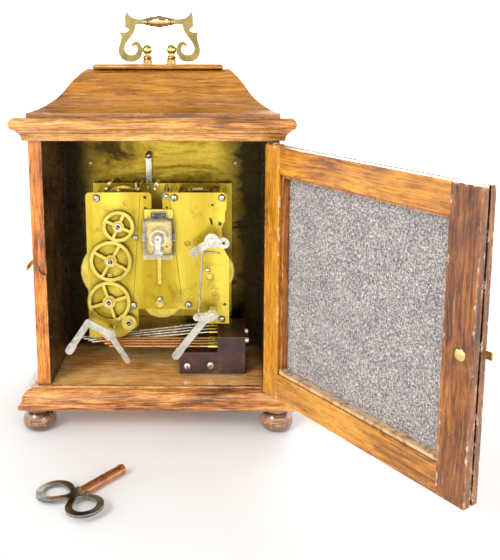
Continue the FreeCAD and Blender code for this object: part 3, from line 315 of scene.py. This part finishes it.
def heathered_cloth(name, turn):
    """Plain-woven cloth of mixed grey, blue and pale yarns."""
    g = Graph(name)
    flat = g.mapped(turn=(0, 0, turn))
    across, _, up = g.split(flat)
    warp = g.noise(g.mapped((1, 1, 0.34), source=flat), 1050, 2, 0.8)
    weft = g.noise(g.mapped((0.34, 1, 1), source=flat), 1050, 2, 0.8)
    fleck = g.noise(flat, 760, 3, 0.75)
    cloudy = g.noise(flat, 60, 3, 0.6)
    tone = g.calc("ADD", g.calc("MULTIPLY", warp, 0.34), g.calc("MULTIPLY", weft, 0.30))
    tone = g.calc("ADD", tone, g.calc("MULTIPLY", fleck, 0.28))
    tone = g.calc("ADD", tone, g.calc("MULTIPLY", cloudy, 0.08))
    colour = g.ramp(tone, [
        (0.39, srgb(52, 50, 62)), (0.455, srgb(108, 104, 112)),
        (0.52, srgb(170, 162, 156)), (0.60, srgb(238, 228, 216)),
    ])
    pitch = 2 * math.pi / 0.00095
    over = g.calc("SINE", g.calc("MULTIPLY", across, pitch))
    under = g.calc("SINE", g.calc("MULTIPLY", up, pitch))
    knit = g.calc("MULTIPLY", over, under)
    colour = g.mix(g.fit(knit, -1.0, -0.3, 0.25, 0.0), colour, srgb(60, 60, 72))
    height = g.calc("ADD", g.calc("MULTIPLY", knit, 0.6), g.calc("MULTIPLY", fleck, 0.6))
    return g.surface(Base_Color=colour, Roughness=0.92, Sheen_Weight=0.2, Sheen_Roughness=0.5,
                     Specular_IOR_Level=0.2, Normal=g.bump(height, 0.5, 0.0005))


def clear_cover(name):
    g = Graph(name)
    haze = g.noise(g.place, 150, 4, 0.6)
    # Painted highlight: the pale cover turns more opaque along its edges and at grazing angles,
    # standing for glints; the haze adds a light frosting.
    rim = g.edges(0.0012, 0.98, 0.75)
    glint = g.node("ShaderNodeLayerWeight", {"Blend": 0.3}).outputs["Fresnel"]
    cover = g.calc("ADD", g.calc("MULTIPLY", rim, 0.5), g.calc("MULTIPLY", glint, 0.3))
    cover = g.calc("ADD", cover, g.fit(haze, 0.35, 0.75, 0.03, 0.16), clamp=True)
    return g.surface(Base_Color=(0.94, 0.94, 0.88), Roughness=g.fit(haze, 0.3, 0.7, 0.08, 0.25),
                     Alpha=cover, Specular_IOR_Level=0.8)


def window_glass(name):
    g = Graph(name)
    smear = g.noise(g.place, 25, 4, 0.6)
    return g.surface(Base_Color=(0.96, 0.98, 0.97), Roughness=g.fit(smear, 0.3, 0.7, 0.01, 0.06),
                     Transmission_Weight=1.0, IOR=1.1, Alpha=0.35)


DARK, AMBER, GOLD = srgb(92, 46, 8), srgb(170, 98, 24), srgb(212, 144, 52)
INSIDE = (srgb(44, 30, 16), srgb(132, 92, 48))

case_wood = wood("case_wood", srgb(110, 50, 6), srgb(204, 116, 26), srgb(238, 164, 58),
                 "z", inside=INSIDE)
base_wood = wood("base_wood", srgb(60, 26, 6), srgb(174, 100, 26), srgb(234, 168, 88),
                 "x", figure=0.6, wear=1.0, seed=0.31, coat=0.7)
bell_wood = wood("bell_wood", srgb(104, 54, 4), srgb(176, 108, 14), srgb(212, 148, 40),
                 "x", figure=0.45, wear=0.5, seed=0.77, rough=0.22)
slab_wood = wood("slab_wood", srgb(72, 32, 6), srgb(180, 110, 34), srgb(236, 176, 92),
                 "x", figure=0.6, wear=1.0, seed=1.3, coat=0.7)
RAIL = (srgb(112, 58, 4), srgb(186, 116, 18), srgb(222, 158, 46))
rail_wood = wood("rail_wood", *RAIL, "x", turn=DOOR_TURN, figure=0.5, seed=0.5, wear=0.9)
stile_wood = wood("stile_wood", srgb(62, 26, 4), srgb(128, 68, 12), srgb(182, 112, 32),
                  "z", turn=DOOR_TURN, figure=0.6, seed=2.1, wear=0.9, chips=0.8, hinge_side=RAIL)
bead_wood = wood("bead_wood", srgb(104, 50, 10), srgb(184, 104, 30), srgb(222, 148, 62),
                 "z", turn=DOOR_TURN, wear=0.9, seed=1.1, ledge=0.064)
front_wood = wood("front_wood", DARK, AMBER, GOLD, "z", seed=3.3)
front_rail_wood = wood("front_rail_wood", DARK, AMBER, GOLD, "x", seed=5.2)
# Painted light: the floor board's colours are raised well above its own wood, to stand in for light
# that hardly reaches it inside the case.
floor_wood = wood("floor_wood", srgb(214, 124, 48), srgb(255, 192, 104), srgb(255, 234, 176),
                  "x", figure=0.5, rough=0.2, coat=0.9, wear=0.3, seed=0.9)
foot_wood = wood("foot_wood", srgb(44, 20, 8), srgb(122, 74, 42), srgb(196, 146, 104),
                 "x", figure=0.4, rough=0.12, coat=1.0, wear=0.2, seed=4.4)
mask_wood = wood("mask_wood", srgb(30, 18, 8), srgb(70, 42, 20), srgb(96, 60, 30), "z",
                 wear=0.2, coat=0.1, rough=0.5)
plate_brass = movement_plate("plate_brass", srgb(238, 212, 82), srgb(180, 152, 26),
                             srgb(108, 82, 12))
gear_brass = metal("gear_brass", srgb(236, 208, 92), srgb(112, 84, 18), 0.26, None, 1200, 0.6,
                   0.1, 0.5, srgb(255, 246, 190), crevice=0.95)
dull_brass = metal("dull_brass", srgb(196, 172, 76), srgb(110, 86, 26), 0.3, "z", 700, 0.8)
dial_plate_brass = dial_back("dial_plate_brass")
old_brass = metal("old_brass", srgb(148, 132, 80), srgb(70, 58, 24), 0.30, None, 800, 0.75,
                  0.12, 0.9, srgb(222, 206, 160))
warm_brass = metal("warm_brass", srgb(196, 168, 120), srgb(116, 84, 50), 0.26, None, 800, 0.6,
                   0.1, 0.7, srgb(240, 224, 186), 90)
gold_brass = metal("gold_brass", srgb(226, 202, 132), srgb(152, 116, 46), 0.18, None, 800, 0.4)
silver_dial = metal("silver_dial", srgb(214, 212, 202), srgb(170, 164, 148), 0.42, None, 1500)
blue_steel = metal("blue_steel", srgb(38, 46, 84), srgb(16, 18, 34), 0.22, "z", 900, 0.5)
grey_steel = metal("grey_steel", srgb(216, 212, 200), srgb(120, 112, 92), 0.3, "x", 900, 0.7,
                   0.12, 0.5, srgb(255, 252, 244), 80)
dark_steel = metal("dark_steel", srgb(146, 148, 138), srgb(60, 62, 52), 0.2, None, 900, 0.9,
                   0.1, 0.8, srgb(236, 236, 228), 60)
bright_steel = metal("bright_steel", srgb(232, 226, 210), srgb(120, 106, 78), 0.22, None, 900,
                     0.7, 0.08, 0.0, (1, 1, 1), 200)
old_dial_screw = metal("old_dial_screw", srgb(176, 146, 76), srgb(70, 54, 20), 0.3, None, 900)
black_steel = metal("black_steel", srgb(58, 54, 44), srgb(24, 20, 14), 0.3, None, 900, 0.6)
copper_rod = metal("copper_rod", srgb(214, 158, 104), srgb(128, 82, 50), 0.26, "x", 900, 0.6)
copper_tube = metal("copper_tube", srgb(206, 146, 104), srgb(110, 66, 40), 0.22, None, 500, 0.8,
                    0.15, 0.4, srgb(240, 210, 180), 90)
maroon_iron = Graph("maroon_iron")
rough_cast = maroon_iron.noise(maroon_iron.place, 420, 4, 0.65)
maroon_iron.surface(
    Base_Color=maroon_iron.mix(
        maroon_iron.calc("MULTIPLY", maroon_iron.edges(0.0012), 0.6),
        maroon_iron.ramp(maroon_iron.noise(maroon_iron.place, 70, 5, 0.7), [
            (0.35, srgb(38, 16, 12)), (0.6, srgb(72, 38, 30)), (0.8, srgb(118, 84, 70)),
        ]), srgb(150, 116, 100)),
    Roughness=maroon_iron.fit(rough_cast, 0.3, 0.7, 0.32, 0.55), Coat_Weight=0.3,
    Normal=maroon_iron.bump(rough_cast, 0.35, 0.0006))
maroon_iron = maroon_iron.material
cloth = heathered_cloth("cloth", DOOR_TURN)
plastic = clear_cover("plastic")
glass = window_glass("glass")

FINISH = {
    case_wood: ("case_side_left", "case_side_right"),
    base_wood: ("base_moulding",),
    bell_wood: ("bell_top", "cap_board"),
    slab_wood: ("top_slab", "cove_moulding"),
    rail_wood: ("rear_door_rails",),
    stile_wood: ("rear_door_stiles",),
    bead_wood: ("cloth_beads",),
    front_wood: ("front_door_stiles", "glass_bead"),
    front_rail_wood: ("front_door_rails",),
    floor_wood: ("floor_board",),
    foot_wood: ("bun_feet",),
    mask_wood: ("mask_board",),
    plate_brass: ("movement_back_plate", "movement_front_plate"),
    gear_brass: ("movement_pillars", "chime_barrel", "strike_barrel", "time_barrel", "centre_wheel",
                 "chime_gear_bottom", "chime_gear_middle", "chime_gear_top", "chime_gear_drum",
                 "platform_base", "rod_collars"),
    dull_brass: ("dial_ornaments",),
    dial_plate_brass: ("dial_plate",),
    old_brass: ("handle_scrolls",),
    warm_brass: ("handle_grip",),
    gold_brass: ("handle_posts", "latch_button", "latch_spindle", "latch_keeper", "door_pivots",
                 "front_door_knob"),
    silver_dial: ("chapter_ring",),
    blue_steel: ("hour_hand", "minute_hand"),
    grey_steel: ("strike_hammer", "lift_lever", "lift_link", "hammer_crank", "silent_lever"),
    bright_steel: ("plate_screws", "balance_wheel", "pivot_studs", "gong_rods_steel",
                   "block_screws"),
    old_dial_screw: ("dial_screws",),
    dark_steel: ("key_bow",),
    copper_rod: ("gong_rods_copper",),
    copper_tube: ("key_tube",),
    maroon_iron: ("gong_block",),
    cloth: ("cloth_panel",),
    plastic: ("dust_cover",),
    glass: ("front_glass",),
}
for material, names in FINISH.items():
    for name in names:
        slots = NODES[name].material_slots
        if slots:
            for one in slots:
                one.material = material
        else:
            NODES[name].data.materials.append(material)


# ------------------------------------------------------------------ softened edges

def soften(name, width, angle=32):
    """Welds the node's corners for show and rounds its edges a little."""
    piece = NODES[name]
    weld = piece.modifiers.new("weld", "WELD")
    weld.merge_threshold = 0.000005
    bevel = piece.modifiers.new("bevel", "BEVEL")
    bevel.width = width
    bevel.segments = 2
    bevel.limit_method = "ANGLE"
    bevel.angle_limit = math.radians(angle)
    bevel.harden_normals = True
    bevel.miter_outer = "MITER_ARC"


for name in ("case_side_left", "case_side_right", "rear_door_rails", "rear_door_stiles",
             "front_door_stiles", "front_door_rails", "cap_board", "floor_board"):
    soften(name, 0.0006)
for name in ("latch_button", "key_bow", "strike_hammer", "lift_lever", "hammer_crank",
             "silent_lever", "handle_scrolls", "gong_block"):
    soften(name, 0.00025)


# ------------------------------------------------------------------ camera, lights, floor

def aimed(thing, place, pitch, yaw):
    """Sets an object at place, looking along -Y, turned down by pitch and towards -X by yaw."""
    ahead = Vector((-math.sin(yaw) * math.cos(pitch), -math.cos(yaw) * math.cos(pitch),
                    -math.sin(pitch)))
    right = Vector((-math.cos(yaw), math.sin(yaw), 0))
    above = right.cross(ahead)
    turn = Matrix((right, above, -ahead)).transposed().to_4x4()
    thing.matrix_world = Matrix.Translation(Vector(place)) @ turn


CAMERA_PLACE = (-0.0589, 0.6811, 0.3341)
CAMERA_PITCH, CAMERA_YAW = 0.180, -0.008
FLOOR_REACH = 6
BACKDROP_RADIUS, BACKDROP_HEIGHT, BACKDROP_STEPS = 1.9, 1.1, 48

camera = bpy.data.objects.new("camera", bpy.data.cameras.new("camera"))
scene.collection.objects.link(camera)
camera.data.lens = 50.66
camera.data.sensor_width = 36
camera.data.shift_x = 0.05
camera.data.shift_y = -0.2
camera.data.clip_start = 0.01
camera.data.clip_end = 50
aimed(camera, CAMERA_PLACE, CAMERA_PITCH, CAMERA_YAW)
scene.camera = camera


def soft_light(name, place, target, size, power):
    lamp = bpy.data.lights.new(name, "AREA")
    lamp.shape = "RECTANGLE"
    lamp.size, lamp.size_y = size
    lamp.energy = power
    thing = bpy.data.objects.new(name, lamp)
    thing.location = place
    aim = Vector(target) - Vector(place)
    thing.rotation_euler = aim.to_track_quat("-Z", "Y").to_euler()
    scene.collection.objects.link(thing)


soft_light("key_light", (0.80, 1.05, 1.05), (0, 0, 0.15), (0.5, 0.5), 11)
soft_light("fill_light", (-0.9, 1.3, 0.6), (0, 0.05, 0.15), (0.6, 0.8), 3)
soft_light("overhead_light", (0, 0, 2.4), (0, 0, 0), (3.4, 3.4), 21)
soft_light("front_light", (-0.6, -1.4, 0.9), (0, 0, 0.15), (0.8, 0.8), 10)

world = bpy.data.worlds.new("studio")
world.use_nodes = True
world.node_tree.nodes["Background"].inputs[0].default_value = (1, 1, 1, 1)
world.node_tree.nodes["Background"].inputs[1].default_value = 0.20
scene.world = world

ground = Graph("ground")
ground_grain = ground.noise(ground.place, 6, 3)
ground.surface(Base_Color=ground.ramp(ground_grain, [(0.3, (0.90, 0.90, 0.90)),
                                                     (0.7, (0.93, 0.93, 0.93))]),
               Roughness=0.7)
backdrop = Graph("backdrop")
backdrop.surface(Base_Color=(0.9, 0.9, 0.9), Emission_Color=(1, 1, 1, 1), Emission_Strength=0.95)


def stage_mesh(name, points, faces, material):
    mesh = bpy.data.meshes.new(name)
    mesh.from_pydata(points, [], faces)
    mesh.materials.append(material)
    thing = bpy.data.objects.new(name, mesh)
    scene.collection.objects.link(thing)
    thing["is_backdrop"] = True


corners = ((-1, -1), (1, -1), (1, 1), (-1, 1))
stage_mesh("studio_floor", [(x * FLOOR_REACH, y * FLOOR_REACH, 0) for x, y in corners],
           [(0, 1, 2, 3)], ground.material)
steps = BACKDROP_STEPS
turns = [math.tau * step / steps for step in range(steps)]
ring = [(BACKDROP_RADIUS * math.cos(turn), BACKDROP_RADIUS * math.sin(turn)) for turn in turns]
stage_mesh("studio_backdrop", [(x, y, z) for z in (0, BACKDROP_HEIGHT) for x, y in ring],
           [(step, (step + 1) % steps, steps + (step + 1) % steps, steps + step)
            for step in range(steps)], backdrop.material)


# ------------------------------------------------------------------ fitted pieces

MM = 0.001
# Levels in millimetres, in the row frame.
PLATE_FACE = 30.0
BALANCE_LEVEL = 156.6
HAIRSPRING_LEVEL = 40.6
DIAL_LEVEL = 127
NUMERAL_RADIUS, MINUTE_RADIUS = 57.2, 64.4
HINGE_X, HINGE_Y = -96.5, 74.9
CLOTH_LEVEL = 74.55
CLOTH_STEPS = 96


def at(x, y, z):
    return Matrix.Translation((x * MM, y * MM, z * MM))


def rearward(x, y, z):
    """Turns a piece's own Z to the row's +Y, with its foot at a point given in millimetres."""
    return at(x, y, z) @ Matrix.Rotation(math.radians(-90), 4, "X")


def frontward(x, y, z):
    """Turns a piece's own Z to the row's -Y, with its foot at a point given in millimetres."""
    return at(x, y, z) @ Matrix.Rotation(math.radians(90), 4, "X")


def lathe(bm, profile, matrix, steps=24):
    """Revolves (radius, height) points, in millimetres, about Z."""
    rings = []
    for radius, height in profile:
        if radius == 0:
            rings.append([bm.verts.new(matrix @ Vector((0, 0, height * MM)))])
            continue
        turns = [math.tau * step / steps for step in range(steps)]
        rings.append([bm.verts.new(matrix @ Vector((
            radius * math.cos(turn) * MM, radius * math.sin(turn) * MM, height * MM,
        ))) for turn in turns])
    for low, high in zip(rings, rings[1:]):
        for step in range(steps):
            after = (step + 1) % steps
            corners = [low[step % len(low)], low[after % len(low)],
                       high[after % len(high)], high[step % len(high)]]
            face = list(dict.fromkeys(corners))
            if len(face) > 2:
                bm.faces.new(face)


def bar(bm, size, matrix, ease=0.15):
    """A block with eased edges, in millimetres, centred on the matrix."""
    scaled = matrix @ Matrix.Diagonal((*(value * MM for value in size), 1))
    made = bmesh.ops.create_cube(bm, size=1, matrix=scaled)["verts"]
    edges = list({edge for vert in made for edge in vert.link_edges})
    bmesh.ops.bevel(bm, geom=edges, offset=ease * MM, segments=2, affect="EDGES", profile=0.6)


def finish_piece(name, mesh, material, body, smooth=True):
    mesh.materials.clear()
    mesh.materials.append(material)
    piece = bpy.data.objects.new(name, mesh)
    scene.collection.objects.link(piece)
    if smooth:
        mesh.polygons.foreach_set("use_smooth", [True] * len(mesh.polygons))
        mesh.set_sharp_from_angle(angle=math.radians(38))
    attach(piece, body)
    return piece


def piece_of(name, bm, material, body, smooth=True):
    bmesh.ops.recalc_face_normals(bm, faces=bm.faces)
    mesh = bpy.data.meshes.new(name)
    bm.to_mesh(mesh)
    bm.free()
    return finish_piece(name, mesh, material, body, smooth)


def wire(name, points, radius, material, body):
    """A bent wire through points given in millimetres."""
    curve = bpy.data.curves.new(name, "CURVE")
    curve.dimensions = "3D"
    curve.bevel_depth = radius * MM
    curve.bevel_resolution = 3
    curve.use_fill_caps = True
    line = curve.splines.new("NURBS")
    line.points.add(len(points) - 1)
    for point, place in zip(line.points, points):
        point.co = (*(value * MM for value in place), 1)
    line.order_u = 3
    line.use_endpoint_u = True
    holder = bpy.data.objects.new(name + "_line", curve)
    mesh = bpy.data.meshes.new_from_object(holder)
    bpy.data.objects.remove(holder)
    return finish_piece(name, mesh, material, body)


def rear_of(node, x, z, near):
    """How far back, in millimetres, a node reaches within `near` of a point."""
    found = [vert.co.y / MM for vert in NODES[node].data.vertices
             if math.hypot(vert.co.x / MM - x, vert.co.z / MM - z) < near]
    return max(found)


def dress_screws(name, node, places, radius, base, head, ring=True, level=None):
    """Domed heads, slots and a dark ring of painted shadow around each of a node's screws."""
    domes, slots, shadow_rings = bmesh.new(), bmesh.new(), bmesh.new()
    for number, (x, z) in enumerate(places):
        top = rear_of(node, x, z, radius + 0.8) if level is None else level
        lathe(domes, [(radius, 0.0), (radius * 0.94, 0.28), (radius * 0.7, 0.6),
                      (radius * 0.35, 0.78), (0, 0.84)], rearward(x, top, z))
        turn = Matrix.Rotation(math.radians(37 + 61 * number), 4, "Z")
        bar(slots, (radius * 1.75, 0.55, 0.5), rearward(x, top + 0.62, z) @ turn, 0.05)
        # Painted shadow: a dark black-steel ring laid around each screw head.
        lathe(shadow_rings, [(radius + 0.05, 0.02), (radius + 0.7, 0.02), (radius + 0.6, 0.22),
                     (radius + 0.05, 0.25), (radius + 0.05, 0.02)], rearward(x, base, z))
    piece_of(name + "_heads", domes, head, "case")
    piece_of(name + "_slots", slots, black_steel, "case", False)
    if ring:
        piece_of(name + "_shadow_rings", shadow_rings, black_steel, "case")
    else:
        shadow_rings.free()


PLATE_SCREWS = [(52.6, 189.5), (-13.3, 190), (-53.6, 190), (23, 94.6), (-24.5, 95.2),
                (-53.5, 82)]
SMALL_SCREWS = [(0, 100), (20.3, 155), (-6.5, 191)]
dress_screws("pillar_screw", "plate_screws", PLATE_SCREWS, 2.5, PLATE_FACE, bright_steel)
dress_screws("small_screw", "plate_screws", SMALL_SCREWS, 1.9, PLATE_FACE, bright_steel)
dress_screws("dial_screw", "dial_screws", [(-66, 211), (66, 211)], 2.7, -18.4, old_dial_screw)
dress_screws("block_screw", "block_screws", [(-44, 46), (-24, 45)], 2.8, 44.0, bright_steel)

# Dark slotted studs at the chime wheels' centres.
centres = []
for name in ("bottom", "middle", "top", "drum"):
    low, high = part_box("chime_gear_" + name)
    middle = (Vector(low) + Vector(high)) / 2
    centres.append((middle.x / MM, middle.z / MM))
hubs, nicks = bmesh.new(), bmesh.new()
for number, (x, z) in enumerate(centres):
    top = rear_of("pivot_studs", x, z, 4)
    lathe(hubs, [(1.9, -0.6), (1.9, 0.3), (1.5, 0.9), (0.7, 1.25), (0, 1.3)],
          rearward(x, top, z), 16)
    bar(nicks, (3.2, 0.5, 0.5), rearward(x, top + 1.1, z)
        @ Matrix.Rotation(0.6 + number, 4, "Z"), 0.05)
piece_of("wheel_studs", hubs, black_steel, "case")
piece_of("wheel_stud_slots", nicks, grey_steel, "case", False)


def toothed_wheel(bm, matrix, radius, teeth, rim, thick, hub, spokes=4):
    """A crossed-out wheel in millimetres: toothed rim, spokes and a hub."""
    count = teeth * 4
    outer = [radius - (0.9 if step % 4 > 1 else 0.0) for step in range(count)]
    loops = []
    for height in (0, thick):
        for rounds in (outer, [radius - rim] * count):
            loops.append([bm.verts.new(matrix @ Vector((
                reach * math.cos(math.tau * step / count) * MM,
                reach * math.sin(math.tau * step / count) * MM, height * MM,
            ))) for step, reach in enumerate(rounds)])
    for first, second in ((0, 1), (1, 3), (3, 2), (2, 0)):
        for step in range(count):
            after = (step + 1) % count
            bm.faces.new((loops[first][step], loops[first][after],
                          loops[second][after], loops[second][step]))
    for number in range(spokes):
        turn = Matrix.Rotation(math.tau * number / spokes + 0.3, 4, "Z")
        bar(bm, (radius - rim + 0.4, 1.8, thick), matrix @ turn
            @ at((radius - rim) / 2, 0, thick / 2), 0.1)
    lathe(bm, [(0, -0.6), (hub, -0.6), (hub, thick + 0.6), (0, thick + 0.6)], matrix, 20)


# Part of the trains between the plates, seen over their top edges.
train = bmesh.new()
toothed_wheel(train, rearward(31.5, 17, 179.2), 18.8, 76, 2.6, 1.2, 3)
toothed_wheel(train, rearward(-27.5, 9, 184.2), 11.2, 52, 2.0, 1.0, 2.4)
toothed_wheel(train, rearward(-41.5, 19, 181.5), 13.5, 60, 2.2, 1.0, 2.4)
piece_of("train_wheels", train, gear_brass, "case")
arbors = bmesh.new()
for x, z, thick in ((31.5, 179.2, 1.3), (-27.5, 184.2, 1.1), (-41.5, 181.5, 1.1),
                    (3.4, 197.2, 0.9), (44.5, 197.4, 1.0)):
    lathe(arbors, [(0, 0), (thick, 0), (thick, 14), (thick * 1.9, 14), (thick * 1.9, 20),
                   (thick, 20), (thick, 37.6), (0, 37.6)], rearward(x, -9.7, z), 16)
piece_of("train_arbors", arbors, bright_steel, "case")
fittings = bmesh.new()
bar(fittings, (2.2, 34, 3.2), at(17.5, 9.2, 196.2), 0.4)
bar(fittings, (1.6, 5, 9.5), at(19.6, 22, 197), 0.3)
bar(fittings, (9, 1.2, 5), at(-33, 22, 194.6), 0.3)
lathe(fittings, [(0, 0), (2.1, 0), (2.1, 2.4), (1.4, 3.2), (1.4, 6), (0, 6.4)],
      at(-6.4, 22, 194.2), 18)
lathe(fittings, [(0, 0), (1.9, 0), (1.9, 2.4), (0, 2.8)], at(9.6, 20, 195.6), 6)
piece_of("top_fittings", fittings, old_brass, "case")
wire("locking_hook", [(17.4, 25, 190), (17.2, 25, 198), (17.6, 25, 203.5), (19.6, 25, 205.4),
                      (21.2, 25, 203.4)], 0.55, black_steel, "case")
wire("lifting_pin", [(-44, 24, 192), (-44.6, 24, 197), (-47, 24, 198.6), (-50, 24, 197.6)],
     0.5, black_steel, "case")

# Two thin dark lines and oil sinks on the back plate.
lines = bmesh.new()
for start, end in (((15.6, 192.5), (23.2, 97.5)), ((-9.2, 188), (-18.4, 104))):
    lean = math.atan2(end[0] - start[0], start[1] - end[1])
    long = math.hypot(end[0] - start[0], end[1] - start[1])
    middle = at((start[0] + end[0]) / 2, PLATE_FACE + 0.02, (start[1] + end[1]) / 2)
    bar(lines, (0.32, 0.06, long), middle @ Matrix.Rotation(-lean, 4, "Y"), 0.01)
piece_of("dark_plate_lines", lines, black_steel, "case", False)
sinks = bmesh.new()
for x, z, size in ((-43, 121, 1.5), (0, 95, 1.5), (-24, 150, 1), (-34, 176, 1), (28, 186, 1),
                   (-47, 105, 1), (8, 122, 1)):
    lathe(sinks, [(1.0, 0.02), (1.1, 0.16), (1.9, 0.22), (2.4, 0.16), (2.6, 0.02)],
          rearward(x, PLATE_FACE, z) @ Matrix.Scale(size, 4))
piece_of("oil_sinks", sinks, dull_brass, "case")
wire("click_spring", [(-37.5, 30.9, 142.2), (-41, 31.0, 142.9), (-46, 31.2, 142.4),
                      (-52, 31.3, 141.4)], 0.42, bright_steel, "case")
posts = bmesh.new()
lathe(posts, [(0, 0), (1.3, 0), (1.3, 1.6), (0.8, 2.0), (0, 2.1)],
      rearward(-37.6, PLATE_FACE, 142.2), 16)
lathe(posts, [(0, 0), (1.7, 0), (1.7, 1.8), (1.0, 2.3), (0, 2.4)],
      rearward(-41.4, PLATE_FACE, 126.5), 18)
piece_of("small_posts", posts, bright_steel, "case")

# Under the clear cover: bridge, hairspring, jewels and screws.
bridge = bmesh.new()
bar(bridge, (4.4, 1.2, 13), at(0, 41.9, 150.6), 0.4)
lathe(bridge, [(1.0, 0), (3.4, 0), (3.4, 1.3), (1.0, 1.3), (1.0, 0)],
      rearward(0, 41.3, BALANCE_LEVEL), 28)
bar(bridge, (7.5, 9.5, 2.6), at(0, 37.2, 144.2), 0.4)
bar(bridge, (1.0, 1.0, 9.5), at(5.2, 35.4, 148.4) @ Matrix.Rotation(0.35, 4, "Y"), 0.2)
piece_of("balance_bridge", bridge, bright_steel, "case")
jewels = bmesh.new()
lathe(jewels, [(0, 0), (0.95, 0), (0.95, 0.3), (0.4, 0.45), (0, 0.4)],
      rearward(0, 42.2, BALANCE_LEVEL), 16)
lathe(jewels, [(0, 0), (0.8, 0), (0.8, 0.3), (0, 0.35)], rearward(-6.6, 31.7, 147.5), 16)
ruby = Graph("ruby")
ruby.surface(Base_Color=ruby.ramp(ruby.noise(ruby.place, 900, 2), [
    (0.3, srgb(120, 8, 26)), (0.7, srgb(196, 30, 56))]), Roughness=0.1, Coat_Weight=0.8)
piece_of("jewels", jewels, ruby.material, "case")
coils = [(0.35 * step / 2.2 + 1.4, step * 0.35) for step in range(118)]
wire("hairspring", [(radius * 0.24 * math.cos(angle), HAIRSPRING_LEVEL,
                     BALANCE_LEVEL + radius * 0.24 * math.sin(angle))
                    for radius, angle in coils], 0.09, blue_steel, "balance")
COVER_SCREWS = [(13.1, 156), (-13.1, 156), (-4.6, 175.2), (4.6, 175.2)]
dress_screws("cover_screw", "dust_cover", COVER_SCREWS, 0.95, 33.5, bright_steel, False, 33.6)

# The dial's front: numerals, minute marks and a centre nut.
NUMERALS = ("XII", "I", "II", "III", "IIII", "V", "VI", "VII", "VIII", "IX", "X", "XI")
enamel = Graph("black_enamel")
enamel.surface(Base_Color=enamel.ramp(enamel.noise(enamel.place, 500, 3), [
    (0.3, (0.010, 0.010, 0.012)), (0.7, (0.028, 0.026, 0.026))]), Roughness=0.35)
marks = bmesh.new()
ring_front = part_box("chapter_ring")[0][1] / MM
for number, text in enumerate(NUMERALS):
    turn = math.tau * number / 12
    curve = bpy.data.curves.new("numeral", "FONT")
    curve.body = text
    curve.size = 0.0125
    curve.extrude = 0.00006
    curve.align_x, curve.align_y = "CENTER", "CENTER"
    holder = bpy.data.objects.new("numeral", curve)
    mesh = bpy.data.meshes.new_from_object(holder)
    mesh.transform(at(NUMERAL_RADIUS * math.sin(turn), ring_front - 0.08,
                      DIAL_LEVEL + NUMERAL_RADIUS * math.cos(turn))
                   @ Matrix.Rotation(turn, 4, "Y") @ Matrix.Rotation(math.radians(90), 4, "X")
                   @ Matrix.Diagonal((0.62 if len(text) > 2 else 0.8, 1, 1, 1)))
    marks.from_mesh(mesh)
    bpy.data.objects.remove(holder)
for minute in range(60):
    turn = math.tau * minute / 60
    wide = 1.0 if minute % 5 == 0 else 0.4
    place = at(MINUTE_RADIUS * math.sin(turn), ring_front - 0.06,
               DIAL_LEVEL + MINUTE_RADIUS * math.cos(turn))
    bar(marks, (wide, 0.12, 1.8), place @ Matrix.Rotation(turn, 4, "Y"), 0.03)
for radius in (63.2, 51.6):
    lathe(marks, [(radius, 0.0), (radius + 0.25, 0.0), (radius + 0.25, 0.12), (radius, 0.12)],
          frontward(0, ring_front, DIAL_LEVEL), 96)
piece_of("dial_marks", marks, enamel.material, "case", False)
nut = bmesh.new()
lathe(nut, [(2.9, 0), (2.9, 0.5), (2.2, 1.3), (1.2, 1.7), (0, 1.8)],
      frontward(0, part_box("minute_hand")[0][1] / MM, DIAL_LEVEL), 28)
piece_of("hand_nut", nut, gold_brass, "minute")

# The cloth, stretched over the rear door's opening.
PIVOT = at(HINGE_X, HINGE_Y, 0)
OPENED = PIVOT @ Matrix.Rotation(-DOOR_TURN, 4, "Z") @ PIVOT.inverted()
west, east, south, north = -81.0, 78.0, 60.0, 222.0
panel = bmesh.new()
grid = []
for row in range(CLOTH_STEPS + 1):
    line = []
    for column in range(CLOTH_STEPS + 1):
        share_x, share_z = column / CLOTH_STEPS, row / CLOTH_STEPS
        edge = min(share_x, 1 - share_x, share_z, 1 - share_z)
        pull = math.exp(-edge * 26)
        pucker = 0.16 * pull * (math.sin(share_x * 71) + math.sin(share_z * 67 + 1.3))
        slack = 0.12 * math.sin(share_x * 7.1 + 2.2 * share_z) * math.sin(share_z * 5.3 + 0.8)
        y = CLOTH_LEVEL + pucker + slack * (1 - pull)
        line.append(panel.verts.new(OPENED @ Vector((
            (west + (east - west) * share_x) * MM, y * MM,
            (south + (north - south) * share_z) * MM))))
    grid.append(line)
for row in range(CLOTH_STEPS):
    for column in range(CLOTH_STEPS):
        panel.faces.new((grid[row][column], grid[row][column + 1],
                         grid[row + 1][column + 1], grid[row + 1][column]))
panel_cloth = piece_of("door_cloth", panel, cloth, "rear_door")
solid = panel_cloth.modifiers.new("thickness", "SOLIDIFY")
solid.thickness = 0.0007
solid.offset = 0
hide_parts("cloth_panel")


low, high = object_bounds()
